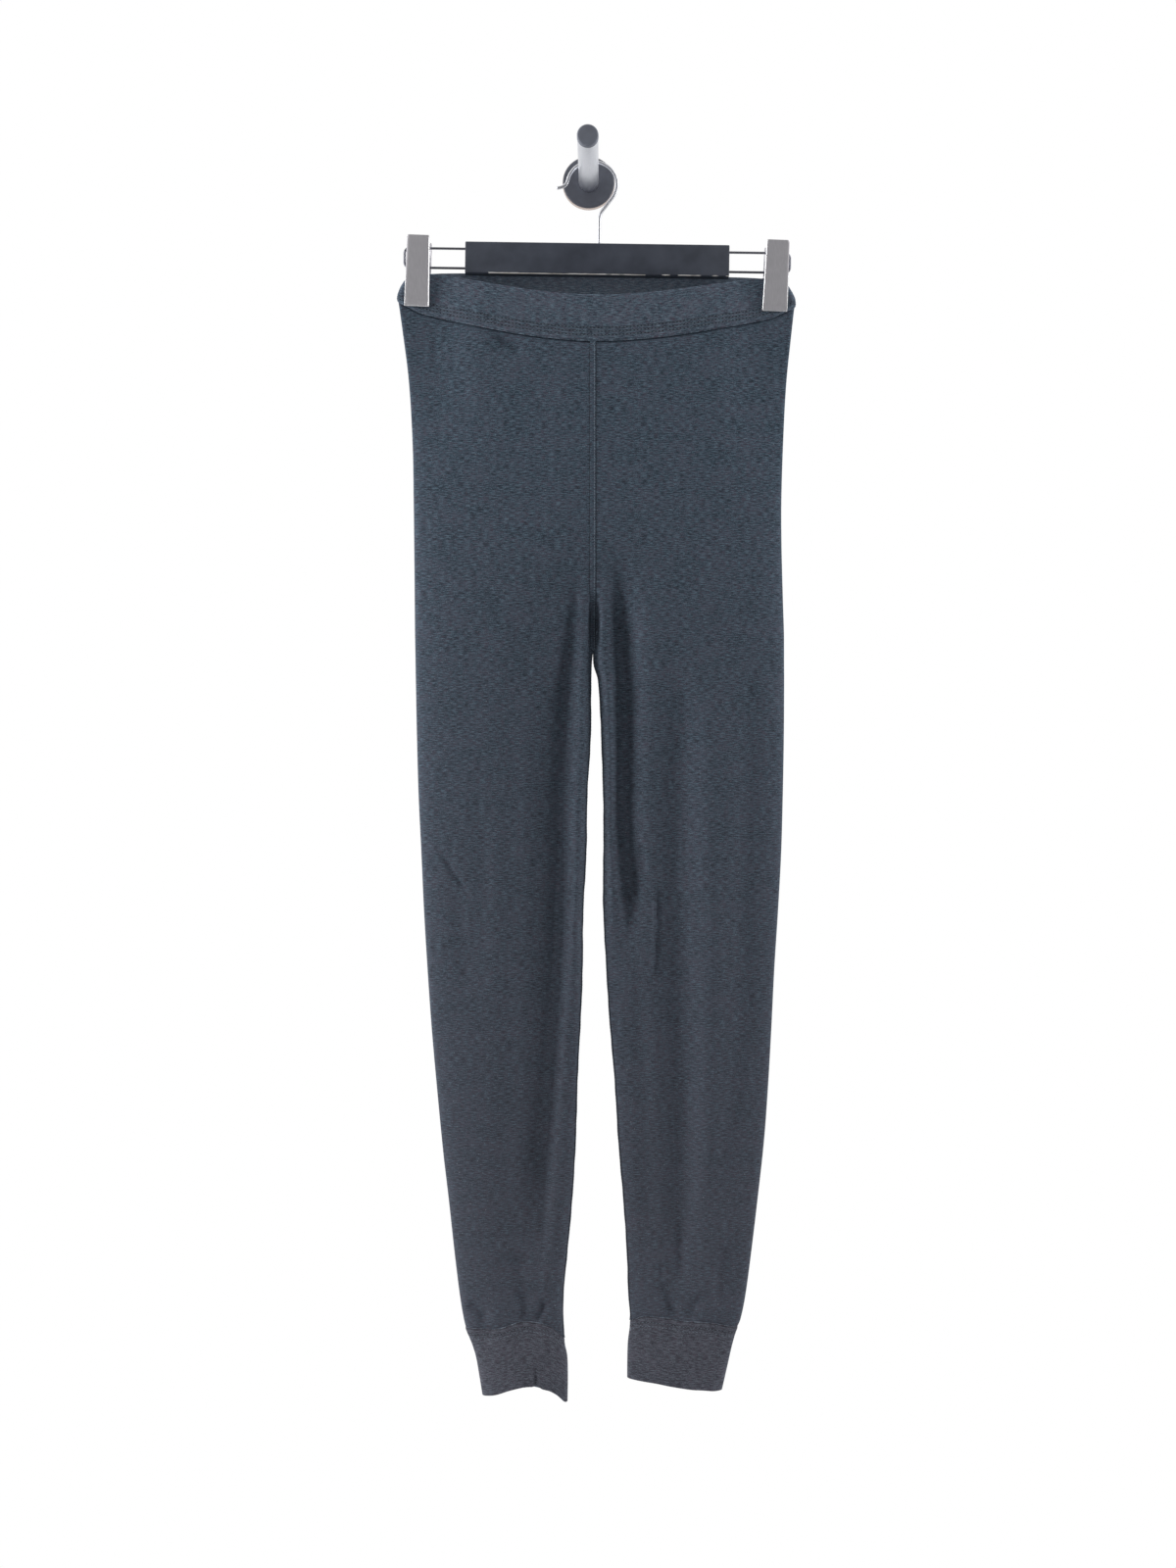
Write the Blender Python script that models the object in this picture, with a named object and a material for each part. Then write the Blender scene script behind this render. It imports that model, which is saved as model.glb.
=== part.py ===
"""A pair of knitted leggings hanging by the waistband from a clip hanger on a wall hook.

Sizes are in millimetres and are turned to metres where a mesh is made. +X is to the wearer's left, -Y is the
front and +Z is up. The origin is the middle of the wall plate's back face, where the wall holds everything.
"""

import math

import bmesh
import bpy
from mathutils import Vector

MM = 0.001
SEAM_GAP = 0.3  # between pieces that are sewn or pressed together

# Wall hook: a round plate, a rod that rises a little towards its end, and an end cap.
PLATE_RADIUS = 23.0
PLATE_THICKNESS = 7.0
ROD_RADIUS = 8.7
ROD_REACH = 126.5
ROD_RISE = 2.0
ROD_DRIFT = -0.8
CAP_RADIUS = 8.9
CAP_THICKNESS = 7.0

# Hanger: a wooden bar between two wire rails that carry the clips, hung from a wire hook.
HANG_PLANE = -31.0  # Y of the plane that the hanger and the cloth hang in
BAR_CENTRE_X = 7.4
BAR_CENTRE_Z = -74.4
BAR_LENGTH = 228.6
BAR_HEIGHT = 27.3
BAR_THICKNESS = 12.4
BAR_EDGE = 1.2
TILT = math.radians(0.8)  # the hanger hangs a little lower at the wearer's left
HOOK_WIRE = 3.0
HOOK_RADII = (21.5, 19.9)  # level and upright
HOOK_CENTRE = (-5.2, 65.8)  # X and Z from the bar's centre
HOOK_STEM_X = 1.3
HOOK_START = -35.0  # degrees, where the round part leaves the straight one
HOOK_END = 168.0
RAIL_WIRE = 2.2
RAIL_SPACING = 16.9
RAIL_REACH = 168.2
RAIL_CORNER = 4.5
RAIL_SOCKET = 22.0

# Clips: two pressed plates that a coiled spring turns together, so that their lower lips meet on the cloth.
CLIP_OFFSET = {"right": 154.6, "left": 155.3}  # from the bar's centre
CLIP_WIDTH = 21.7
CLIP_TOP_WIDTH = 19.4
CLIP_TOP = 16.5  # above the bar's centre
CLIP_HEIGHT = 59.2
CLIP_SHEET = 1.3
CLIP_SPREAD = 8.6  # how much further apart than the lips each plate's top edge is
CLIP_FLANGE = 5.2
CLIP_TURN = {"right": math.radians(1.5), "left": math.radians(1.4)}
SPRING_RADIUS = 6.6
SPRING_LENGTH = 9.0
PIN_RADIUS = 1.5
PIN_OVERHANG = 0.4  # past each flange, where its end is riveted over

# Leggings: walls of cloth, and the centre seam's place beside the hook.
SEAM_X = 3.6
CLOTH = 1.2
BAND_HEIGHT = 38.0
BAND_PROUD = 1.0  # the doubled band stands out from the legs' cloth by this
CUFF_PROUD = 0.7
WAIST_Z = BAR_CENTRE_Z - 13.4  # the band's top edge in the clips
ROUNDNESS = 2.6  # exponent of each section's rounded-off lens shape
CROTCH_DROP = 325.0
HOLD_HALF = 1.6  # half the cloth's thickness between the clips' lips
HOLD_FADE = 45.0  # how far beside a clip the cloth opens out again
HOLD_DROP = 190.0  # how far down the clips' pull shows
CLIP_AT = {"right": 152.4, "left": 158.3}  # from the centre seam
TIP_ROUND = 3.5

# The band's lower edge hangs in a curve between the clips and turns up at the side folds.
SIDE_LIFT = 9.2
EAR_LIFT = 3.4
FRONT_SAG = 29.6
BACK_SAG = 13.0
SAG_REACH = 1.1  # distance from the centre seam where the curve ends, in clip distances
SAG_POWER = 1.74
SAG_DROP = 260.0
# Its upper edge dips at the front and rises a little at the back.
FRONT_DIP = 18.7
DIP_POWER = 1.35
BACK_RISE = 9.0

COLUMNS = 15  # from the centre seam or inseam to the side fold, on each face

# Each leg's sections: drop below the band's top edge, distance of the side fold and of the inner edge from the
# centre seam's plane, and the depth of the front and back faces from the hanging plane. Above the crotch the
# inner edge lies past the centre seam, which cuts the section off.
SECTION = ("drop", "outer", "inner", "front", "back")
LEGS = {
    "right": (
        (38, 168.6, -168.6, 12.0, 15.0),
        (60, 165.3, -165.3, 13.0, 16.0),
        (100, 159.7, -159.7, 14.5, 17.5),
        (150, 156.4, -150.0, 15.5, 18.5),
        (200, 155.4, -112.0, 16.0, 19.0),
        (235, 155.0, -62.0, 16.0, 19.0),
        (260, 154.7, -27.0, 16.0, 19.0),
        (285, 154.5, -10.0, 16.0, 18.5),
        (310, 154.3, -3.2, 16.0, 18.0),
        (325, 154.0, 0.15, 16.0, 17.0),
        (350, 153.6, 1.6, 16.0, 16.5),
        (400, 152.6, 2.2, 16.0, 16.0),
        (450, 151.2, 4.9, 15.5, 15.5),
        (500, 148.8, 6.0, 15.0, 15.0),
        (550, 146.5, 8.4, 14.5, 14.5),
        (600, 143.5, 9.2, 14.0, 14.0),
        (650, 140.0, 11.0, 13.5, 14.0),
        (700, 135.6, 13.6, 13.5, 14.0),
        (760, 129.8, 15.5, 13.5, 14.0),
        (800, 125.1, 18.0, 13.5, 14.0),
        (850, 119.6, 22.8, 13.5, 14.0),
        (885, 115.2, 25.7, 13.5, 14.0),
        (905, 111.8, 25.7, 13.5, 14.0),
        (915, 109.0, 25.2, 13.0, 13.5),
        (925, 104.6, 25.0, 13.0, 13.5),
        (937, 100.8, 22.8, 13.0, 13.5),
        (955, 97.6, 22.3, 13.0, 13.5),
        (976, 94.2, 22.6, 13.0, 13.5),
    ),
    "left": (
        (38, 174.8, -174.8, 12.0, 15.0),
        (60, 172.2, -172.2, 13.0, 16.0),
        (100, 167.8, -167.8, 14.5, 17.5),
        (150, 165.0, -158.0, 15.5, 18.5),
        (200, 163.5, -118.0, 16.0, 19.0),
        (235, 163.7, -65.0, 16.0, 19.0),
        (260, 164.3, -28.0, 16.0, 19.0),
        (285, 165.0, -10.0, 16.0, 18.5),
        (310, 165.8, -3.2, 16.0, 18.0),
        (325, 165.9, 0.15, 16.0, 17.0),
        (337, 165.9, 1.0, 16.0, 17.0),
        (350, 166.0, 4.5, 16.0, 16.5),
        (400, 165.7, 7.6, 16.0, 16.0),
        (450, 164.8, 9.2, 15.5, 15.5),
        (500, 163.4, 9.4, 15.0, 15.0),
        (550, 160.7, 9.4, 14.5, 14.5),
        (600, 157.5, 11.8, 14.0, 14.0),
        (650, 155.0, 15.2, 13.0, 13.5),
        (700, 152.2, 19.2, 12.5, 13.0),
        (750, 148.5, 22.5, 12.0, 12.5),
        (800, 143.0, 26.5, 12.0, 12.0),
        (850, 137.0, 30.0, 12.0, 12.0),
        (885, 132.2, 31.3, 12.0, 12.0),
        (905, 128.0, 32.8, 12.0, 12.0),
        (913, 124.6, 32.4, 11.5, 11.5),
        (925, 120.7, 31.0, 11.0, 11.0),
        (945, 116.1, 30.5, 11.0, 11.0),
        (976, 109.0, 30.5, 11.0, 11.0),
    ),
}

# The cuffs' upper and lower edges as drops, from the inner edge, 0, to the side fold, 1.
EDGE = ("along", "seam_front", "seam_back", "hem_front", "hem_back")
CUFFS = {
    "right": (
        (0.00, 921.0, 921.0, 975.5, 975.5),
        (0.12, 910.0, 915.0, 967.5, 972.0),
        (0.30, 905.5, 911.5, 962.0, 968.0),
        (0.45, 905.5, 910.5, 960.0, 966.0),
        (0.65, 910.5, 910.5, 963.0, 966.0),
        (0.85, 911.5, 911.0, 968.0, 968.5),
        (1.00, 911.7, 911.7, 970.0, 970.0),
    ),
    "left": (
        (0.00, 905.8, 905.8, 955.0, 955.0),
        (0.12, 901.0, 903.0, 956.2, 957.0),
        (0.30, 902.0, 904.0, 958.0, 959.0),
        (0.45, 904.2, 905.0, 960.3, 960.0),
        (0.65, 905.5, 906.5, 963.0, 962.0),
        (0.85, 908.5, 908.5, 964.3, 963.8),
        (1.00, 911.4, 911.4, 965.5, 965.5),
    ),
}
CUFF_ROWS = 5

# The band's side fold, from its seam up to its top edge: share of the height, and how far it stands out.
BAND_SIDE = ((0.0, -0.9), (0.1, 0.3), (0.25, 0.2), (0.6, -2.0), (0.85, -5.2), (1.0, -8.0))

# The groove between the inner thighs, where the centre seams turn back and under at the crotch.
GROOVE_START = 258.0
GROOVE_END = 352.0
GROOVE_HALF = 4.6
GROOVE_FLOOR = 2.4

# Long folds: leg, face, the drops where it starts and ends, its distance from the inner edge at each, half its
# width, and its depth, which is negative on a ridge.
FOLD = ("leg", "face", "start", "end", "from_inner", "to_inner", "half_width", "depth")
FOLDS = (
    ("right", "front", 248, 640, 24.0, 16.0, 9.0, 4.6),
    ("right", "front", 250, 560, 12.0, 8.0, 6.0, -1.5),
    ("left", "front", 252, 560, 21.0, 25.0, 8.0, 5.6),
    ("left", "front", 250, 560, 12.0, 10.0, 6.0, -1.5),
    ("left", "front", 530, 640, 44.0, 40.0, 7.0, 2.0),
    ("right", "front", 500, 640, 112.0, 95.0, 9.0, 1.5),
    ("right", "back", 240, 600, 22.0, 30.0, 11.0, 4.5),
    ("left", "back", 240, 640, 22.0, 28.0, 11.0, 4.5),
    ("right", "back", 420, 720, 80.0, 60.0, 12.0, 2.5),
    ("left", "back", 480, 760, 90.0, 70.0, 12.0, 2.5),
)
# Puckers where each leg is gathered into its cuff: leg, face, distance from the inner edge, half width, depth.
PUCKER = ("leg", "face", "from_inner", "half_width", "depth")
PUCKERS = (
    ("right", "front", 31.0, 9.0, 2.6),
    ("right", "front", 68.0, 7.0, 1.6),
    ("left", "front", 36.0, 7.0, 2.6),
    ("left", "front", 72.0, 10.0, 2.0),
    ("right", "back", 34.0, 8.0, 2.0),
    ("left", "back", 52.0, 9.0, 2.0),
)
PUCKER_LENGTH = 34.0

# Rows of the legs' meshes: from this drop on, one row each so many millimetres.
ROW_STEPS = ((38, 22.0), (240, 11.0), (292, 8.0), (356, 14.0), (412, 38.0), (868, 12.0))

COLOURS = {
    "jersey": ((0.052, 0.066, 0.087), 0.92, 0.0),
    "band": ((0.058, 0.073, 0.095), 0.92, 0.0),
    "cuff": ((0.060, 0.064, 0.078), 0.92, 0.0),
    "black_wood": ((0.020, 0.022, 0.028), 0.45, 0.0),
    "satin_nickel": ((0.42, 0.40, 0.40), 0.38, 1.0),
    "chrome_wire": ((0.62, 0.63, 0.65), 0.15, 1.0),
    "black_plastic": ((0.025, 0.027, 0.032), 0.5, 0.0),
}


def mix(low, high, share):
    return low + (high - low) * share


def smooth(start, end, value):
    share = min(1.0, max(0.0, (value - start) / (end - start)))
    return share * share * (3.0 - 2.0 * share)


def curve_through(rows, column, value):
    """The value of one column of a table on a smooth curve through its rows, the first column being the place."""
    last = len(rows) - 1
    value = min(rows[last][0], max(rows[0][0], value))
    index = next(i for i in range(last) if value <= rows[i + 1][0])

    def slope(i):
        before, after = rows[max(i - 1, 0)], rows[min(i + 1, last)]
        return (after[column] - before[column]) / (after[0] - before[0])

    start, end = rows[index], rows[index + 1]
    length = end[0] - start[0]
    s = (value - start[0]) / length
    return (
        (1 + 2 * s) * (1 - s) ** 2 * start[column]
        + s * (1 - s) ** 2 * length * slope(index)
        + s * s * (3 - 2 * s) * end[column]
        + s * s * (s - 1) * length * slope(index + 1)
    )


def section(leg, name, drop):
    return curve_through(LEGS[leg], SECTION.index(name), drop)


def lens(share):
    """Depth of a rounded-off lens at this share of its half width, as a share of its full depth."""
    return max(0.0, 1.0 - abs(share) ** ROUNDNESS) ** (1.0 / ROUNDNESS)


def cuff_edge(leg, edge, round_way):
    """Drop of a cuff's seam or hem at this place round the leg."""
    face, share = ("front", round_way) if round_way <= 1.0 else ("back", 2.0 - round_way)
    along = (1.0 - math.cos(math.pi * share)) / 2
    return curve_through(CUFFS[leg], EDGE.index(f"{edge}_{face}"), along)


def clip_hold(leg, x, drop):
    """How firmly the clip holds the cloth flat here, from 0 to 1."""
    past_lips = abs(x - CLIP_AT[leg]) - CLIP_WIDTH / 2
    if x < CLIP_AT[leg]:
        beside = 1.0 - smooth(0.0, HOLD_FADE, past_lips)
    else:
        beside = 1.0 - 0.45 * smooth(0.0, TIP_ROUND * 2, past_lips)
    return beside * (1.0 - smooth(BAND_HEIGHT, HOLD_DROP, drop))


def fold_depth(leg, face, from_inner, drop):
    """How far the cloth is pushed in here by the long folds and the cuff's puckers."""
    total = 0.0
    for row in FOLDS:
        fold = dict(zip(FOLD, row))
        if (fold["leg"], fold["face"]) != (leg, face):
            continue
        share = (drop - fold["start"]) / (fold["end"] - fold["start"])
        if 0.0 < share < 1.0:
            middle = mix(fold["from_inner"], fold["to_inner"], share)
            across = math.exp(-(((from_inner - middle) / fold["half_width"]) ** 2))
            total += fold["depth"] * across * smooth(0, 0.3, share) * smooth(0, 0.35, 1 - share)
    seam = CUFFS[leg][-1][1]
    reach = smooth(seam - PUCKER_LENGTH, seam - 8.0, drop) * (1.0 - smooth(seam + 4.0, seam + 20.0, drop))
    for row in PUCKERS:
        pucker = dict(zip(PUCKER, row))
        if (pucker["leg"], pucker["face"]) == (leg, face):
            away = (from_inner - pucker["from_inner"]) / pucker["half_width"]
            total += pucker["depth"] * reach * math.exp(-away * away)
    return total


def groove(x, drop):
    """How far the surface has gone, from 0 to 1, to the bottom of the groove between the thighs."""
    reach = smooth(GROOVE_START, CROTCH_DROP - 8.0, drop) * (1.0 - smooth(CROTCH_DROP, GROOVE_END, drop))
    return reach * math.exp(-((x / GROOVE_HALF) ** 4))


def surface_point(leg, round_way, drop, widen=0.0, height=None):
    """A point of the legs' outer surface, in millimetres.

    round_way runs from the centre front or inseam, 0, by the side fold, 1, to the centre back or inseam, 2.
    widen moves the side fold out, and height gives the point's lift where the sagging rows don't.
    """
    if drop < CROTCH_DROP:
        round_way = min(2.0, max(0.0, round_way))
    round_way %= 2.0 if drop >= CROTCH_DROP else 2.1
    face, share = ("front", round_way) if round_way <= 1.0 else ("back", 2.0 - round_way)
    outer = section(leg, "outer", drop) + widen
    inner = section(leg, "inner", drop) - widen
    middle, half = (outer + inner) / 2, (outer - inner) / 2
    start = math.acos(min(1.0, (middle - max(inner, SEAM_GAP / 2)) / half))
    across = -math.cos(mix(start, math.pi, share))
    x = middle + half * across
    y = section(leg, face, drop) * lens(across)
    y -= groove(x, drop) * max(0.0, y - GROOVE_FLOOR)
    to_tip = max(0.0, (x - (outer - TIP_ROUND)) / TIP_ROUND)
    loose = 2.0 * (1.0 - smooth(0.0, BAND_HEIGHT * 0.8, drop))
    held_y = (HOLD_HALF + loose) * math.sqrt(max(0.0, 1.0 - to_tip * to_tip))
    y = mix(y, held_y, clip_hold(leg, x, drop))
    edges = smooth(0.0, 0.12, share) * smooth(0.0, 0.12, 1.0 - share)
    y -= edges * fold_depth(leg, face, x - max(inner, 0.0), drop)
    if height is None:
        height = edge_lift(leg, face, x) * (1.0 - smooth(BAND_HEIGHT, SAG_DROP, drop))
    else:
        height = height(leg, face, x)
    side = -1.0 if leg == "right" else 1.0
    world_x = SEAM_X + side * x
    fall = 1.0 - smooth(BAND_HEIGHT, SAG_DROP, drop)
    z = WAIST_Z - drop + height - math.tan(TILT) * (world_x - BAR_CENTRE_X) * fall
    return Vector((world_x, HANG_PLANE + (y if face == "back" else -y), z))


def cloth_point(leg, round_way, drop, out, **shape):
    """A point of a cloth wall, in metres, this far out from the legs' outer surface along its level normal."""
    here = surface_point(leg, round_way, drop, **shape)
    ahead = surface_point(leg, round_way + 0.004, drop, **shape)
    behind = surface_point(leg, round_way - 0.004, drop, **shape)
    along = ahead - behind
    normal = Vector((along.y, -along.x, 0.0)).normalized()
    here += normal * (out if leg == "left" else -out)
    cut = drop < CROTCH_DROP and (round_way <= 0.0 or round_way >= 2.0)
    if cut:
        here.x = SEAM_X + (SEAM_GAP / 2 if leg == "left" else -SEAM_GAP / 2)
    return here * MM


def edge_lift(leg, face, x):
    """Height of the band's lower edge against a level one, from the clips' pull."""
    share = min(1.0, x / (CLIP_AT[leg] * SAG_REACH))
    depth = FRONT_SAG if face == "front" else BACK_SAG
    ear = EAR_LIFT * smooth(CLIP_AT[leg] - 4.0, CLIP_AT[leg] * SAG_REACH, x)
    return SIDE_LIFT + ear - depth * (1.0 - share**SAG_POWER)


def top_edge_lift(leg, face, x):
    """Height of the band's top edge against the clips' level."""
    share = x / CLIP_AT[leg]
    between = math.cos(math.pi / 2 * min(1.0, share)) ** DIP_POWER
    lift = -FRONT_DIP * between if face == "front" else BACK_RISE * between
    return lift - 0.6 - 4.0 * min(1.0, max(0.0, (share - 1.0) / 0.055)) ** 2


def material(name):
    if name in bpy.data.materials:
        return bpy.data.materials[name]
    colour, roughness, metallic = COLOURS[name]
    made = bpy.data.materials.new(name)
    made.use_nodes = True
    shader = made.node_tree.nodes["Principled BSDF"]
    shader.inputs["Base Color"].default_value = (*colour, 1.0)
    shader.inputs["Roughness"].default_value = roughness
    shader.inputs["Metallic"].default_value = metallic
    return made


def add_object(name, data, look, parent=None):
    data.materials.append(material(look))
    made = bpy.data.objects.new(name, data)
    bpy.context.scene.collection.objects.link(made)
    made.parent = parent
    return made


def add_mesh(name, points, faces, look, parent=None):
    mesh = bpy.data.meshes.new(name)
    mesh.from_pydata(points, [], faces)
    mesh.update()
    mesh.shade_smooth()
    mesh.set_sharp_from_angle(angle=math.radians(40))
    return add_object(name, mesh, look, parent)


def point_outwards(made):
    """Turns a closed mesh's faces so that they all point out."""
    shape = bmesh.new()
    shape.from_mesh(made.data)
    bmesh.ops.recalc_face_normals(shape, faces=shape.faces)
    shape.to_mesh(made.data)
    shape.free()


# --- the leggings ---


def leg_rows(leg):
    """The drops of the leg's rows, from the band's seam to the cuff's, with one at the crotch."""
    end = CUFFS[leg][-1][1]
    drops = []
    for index, (start, step) in enumerate(ROW_STEPS):
        stop = ROW_STEPS[index + 1][0] if index + 1 < len(ROW_STEPS) else end
        count = round((stop - start) / step)
        drops += [mix(start, stop, i / count) for i in range(count)]
    drops = [d for d in drops if abs(d - CROTCH_DROP) > 3.0] + [CROTCH_DROP, end]
    return sorted(drops)


def row_drop(leg, round_way, row):
    """The rows near a cuff take on the shape of its seam."""
    end = CUFFS[leg][-1][1]
    return row + (cuff_edge(leg, "seam", round_way) - end) * smooth(end - 60.0, end, row)


def round_the_leg():
    """The place of each column, from the centre front or inseam by the side fold to the centre back."""
    return [i / COLUMNS for i in range(2 * COLUMNS + 1)]


def make_leg(leg):
    """One cut piece: a tube below the crotch that opens along the centre seams above it."""
    columns, drops = round_the_leg(), leg_rows(leg)
    points, grids = [], []
    for out in (0.0, -CLOTH):
        grid = []
        for drop in drops:
            line = []
            gap = SEAM_GAP * smooth(BAND_HEIGHT + 8.0, BAND_HEIGHT, drop)
            for round_way in columns:
                if round_way == 2.0 and drop >= CROTCH_DROP:
                    line.append(line[0])
                    continue
                point = cloth_point(leg, round_way, row_drop(leg, round_way, drop), out)
                points.append(point - Vector((0.0, 0.0, gap * MM)))
                line.append(len(points) - 1)
            grid.append(line)
        grids.append(grid)
    faces = []
    outside, inside = grids
    last = len(columns) - 1
    for i in range(len(drops) - 1):
        for j in range(last):
            faces.append((outside[i][j], outside[i + 1][j], outside[i + 1][j + 1], outside[i][j + 1]))
            faces.append((inside[i][j], inside[i][j + 1], inside[i + 1][j + 1], inside[i + 1][j]))
        if drops[i] < CROTCH_DROP:
            faces.append((outside[i][0], inside[i][0], inside[i + 1][0], outside[i + 1][0]))
            faces.append((outside[i][last], outside[i + 1][last], inside[i + 1][last], inside[i][last]))
    for j in range(last):
        faces.append((outside[0][j], outside[0][j + 1], inside[0][j + 1], inside[0][j]))
        faces.append((outside[-1][j], inside[-1][j], inside[-1][j + 1], outside[-1][j + 1]))
    made = add_mesh(f"leg_{leg}", points, faces, "jersey")
    point_outwards(made)


def ring_wall(name, look, outside, inside):
    """A tube wall from two equal lists of closed rings, each ring a list of points."""
    count = len(outside[0])
    points = [p for ring in outside + inside for p in ring]
    rows = len(outside)

    def at(side, row, column):
        return (side * rows + row) * count + column % count

    faces = []
    for row in range(rows - 1):
        for j in range(count):
            faces.append((at(0, row, j), at(0, row + 1, j), at(0, row + 1, j + 1), at(0, row, j + 1)))
            faces.append((at(1, row, j), at(1, row, j + 1), at(1, row + 1, j + 1), at(1, row + 1, j)))
    for row in (0, rows - 1):
        for j in range(count):
            faces.append((at(0, row, j), at(0, row, j + 1), at(1, row, j + 1), at(1, row, j)))
    made = add_mesh(name, points, faces, look)
    point_outwards(made)


def make_waistband():
    """The doubled band: one ring round the waist, sagging at the front between the clips."""
    columns = round_the_leg()
    places = [("right", c) for c in columns[:-1]] + [("left", c) for c in reversed(columns[1:])]
    walls = []
    for out in (BAND_PROUD, -CLOTH):
        rings = []
        for up, widen in BAND_SIDE:

            def height(leg, face, x):
                return mix(edge_lift(leg, face, x), top_edge_lift(leg, face, x), up)

            drop = mix(BAND_HEIGHT, 0.0, up)
            ring = [cloth_point(leg, c, drop, out, widen=widen, height=height) for leg, c in places]
            # At the centre seams the legs' two halves meet in one band.
            for place in (0, len(columns) - 1):
                ring[place].x = SEAM_X * MM
            rings.append(ring)
        walls.append(rings)
    ring_wall("waistband", "band", *walls)


def make_cuff(leg):
    """The doubled cuff: a ring sewn to the leg's end, with an uneven hem."""
    walls = []
    for out in (CUFF_PROUD, -CLOTH):
        rings = []
        for row in range(CUFF_ROWS):
            ring = []
            for round_way in round_the_leg()[:-1]:
                top = cuff_edge(leg, "seam", round_way) + SEAM_GAP
                drop = mix(top, cuff_edge(leg, "hem", round_way), row / (CUFF_ROWS - 1))
                ring.append(cloth_point(leg, round_way, drop, out))
            rings.append(ring)
        walls.append(rings)
    ring_wall(f"cuff_{leg}", "cuff", *walls)


# --- the hanger ---


def wire(name, route, diameter, look, parent, sides_resolution=2):
    """A round wire along a list of points in millimetres, with closed ends."""
    curve = bpy.data.curves.new(name, "CURVE")
    curve.dimensions = "3D"
    curve.bevel_depth = diameter / 2 * MM
    curve.bevel_resolution = sides_resolution
    curve.use_fill_caps = True
    spline = curve.splines.new("POLY")
    spline.points.add(len(route) - 1)
    for point, place in zip(spline.points, route):
        point.co = (*(Vector(place) * MM), 1.0)
    return add_object(name, curve, look, parent)


def arc(centre, radii, start, end, steps):
    """Points in the XZ plane on an arc of an ellipse between two angles in degrees."""
    found = []
    for i in range(steps + 1):
        angle = math.radians(mix(start, end, i / steps))
        found.append((centre[0] + radii[0] * math.cos(angle), 0.0, centre[1] + radii[1] * math.sin(angle)))
    return found


def bend(start, corner, end, steps=6):
    """Points on a rounded corner between two straight stretches."""
    a, b, c = Vector(start), Vector(corner), Vector(end)
    found = []
    for i in range(steps + 1):
        s = i / steps
        found.append(tuple((1 - s) ** 2 * a + 2 * s * (1 - s) * b + s * s * c))
    return found


def make_hook(hanger):
    """Wire from a hole in the bar, straight up, over the rod and out again at its tip."""
    round_part = arc(HOOK_CENTRE, HOOK_RADII, HOOK_START, HOOK_END, 26)
    slope = math.radians(HOOK_START)
    along = Vector((-HOOK_RADII[0] * math.sin(slope), 0.0, HOOK_RADII[1] * math.cos(slope))).normalized()
    start, end = Vector(round_part[0]), Vector(round_part[-1])
    corner = start - along * (start.x - HOOK_STEM_X) / along.x
    near = 5.0
    route = [(HOOK_STEM_X, 0.0, BAR_HEIGHT / 2 - 10.0)]
    route += bend(corner - Vector((0.0, 0.0, near)), corner, corner + along * near)
    route += round_part
    tip = [end + Vector(step) for step in ((-1.2, 0.0, -3.6), (-2.8, 0.0, -6.6), (-8.8, 0.0, -7.6))]
    route += bend(*tip)
    wire("hanger_hook", route, HOOK_WIRE, "chrome_wire", hanger, 3)


def make_bar(hanger):
    """Bar of painted wood, drilled for the hook and for both rails."""
    shape = bmesh.new()
    bmesh.ops.create_cube(shape, size=1.0)
    bmesh.ops.scale(shape, vec=Vector((BAR_LENGTH, BAR_THICKNESS, BAR_HEIGHT)) * MM, verts=shape.verts)
    mesh = bpy.data.meshes.new("hanger_bar")
    shape.to_mesh(mesh)
    shape.free()
    bar = add_object("hanger_bar", mesh, "black_wood", hanger)
    edge = bar.modifiers.new("rounded_edges", "BEVEL")
    edge.width = BAR_EDGE * MM
    edge.segments = 2
    holes = [("hook_hole", (HOOK_STEM_X, 0.0, BAR_HEIGHT / 2), HOOK_WIRE, 10.0 + SEAM_GAP, "Z")]
    for side in (-1.0, 1.0):
        for level in (-1.0, 1.0):
            place = (side * BAR_LENGTH / 2, 0.0, level * RAIL_SPACING / 2)
            holes.append((f"rail_hole_{side:.0f}_{level:.0f}", place, RAIL_WIRE, RAIL_SOCKET + SEAM_GAP, "X"))
    for name, place, diameter, depth, axis in holes:
        cutter = round_bar(name, diameter / 2 + SEAM_GAP, depth * 2, "black_wood", hanger, 16, axis)
        cutter.location = Vector(place) * MM
        cutter.hide_render = True
        cutter.display_type = "WIRE"
        cut = bar.modifiers.new(name, "BOOLEAN")
        cut.operation = "DIFFERENCE"
        cut.object = cutter


def round_bar(name, radius, length, look, parent=None, sides=24, axis="Y"):
    """A plain cylinder about its own origin, along X, Y or Z."""
    shape = bmesh.new()
    bmesh.ops.create_cone(
        shape, cap_ends=True, segments=sides, radius1=radius * MM, radius2=radius * MM, depth=length * MM
    )
    mesh = bpy.data.meshes.new(name)
    shape.to_mesh(mesh)
    shape.free()
    made = add_object(name, mesh, look, parent)
    made.rotation_euler = {"X": (0, math.pi / 2, 0), "Y": (math.pi / 2, 0, 0), "Z": (0, 0, 0)}[axis]
    return made


def make_rail(leg, hanger):
    """A wire bent to a U, both ends in the bar and its closed end outside the clip."""
    side = -1.0 if leg == "right" else 1.0
    start, high = BAR_LENGTH / 2 - RAIL_SOCKET, RAIL_SPACING / 2
    corner_x, corner_z = RAIL_REACH - RAIL_WIRE / 2 - RAIL_CORNER, high - RAIL_CORNER
    turn = arc((corner_x, -corner_z), (RAIL_CORNER, RAIL_CORNER), -90.0, 0.0, 5)
    turn += arc((corner_x, corner_z), (RAIL_CORNER, RAIL_CORNER), 0.0, 90.0, 5)
    route = [(start, 0.0, -high), *turn, (start, 0.0, high)]
    wire(f"rail_{leg}", [(side * x, y, z) for x, y, z in route], RAIL_WIRE, "chrome_wire", hanger)


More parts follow.
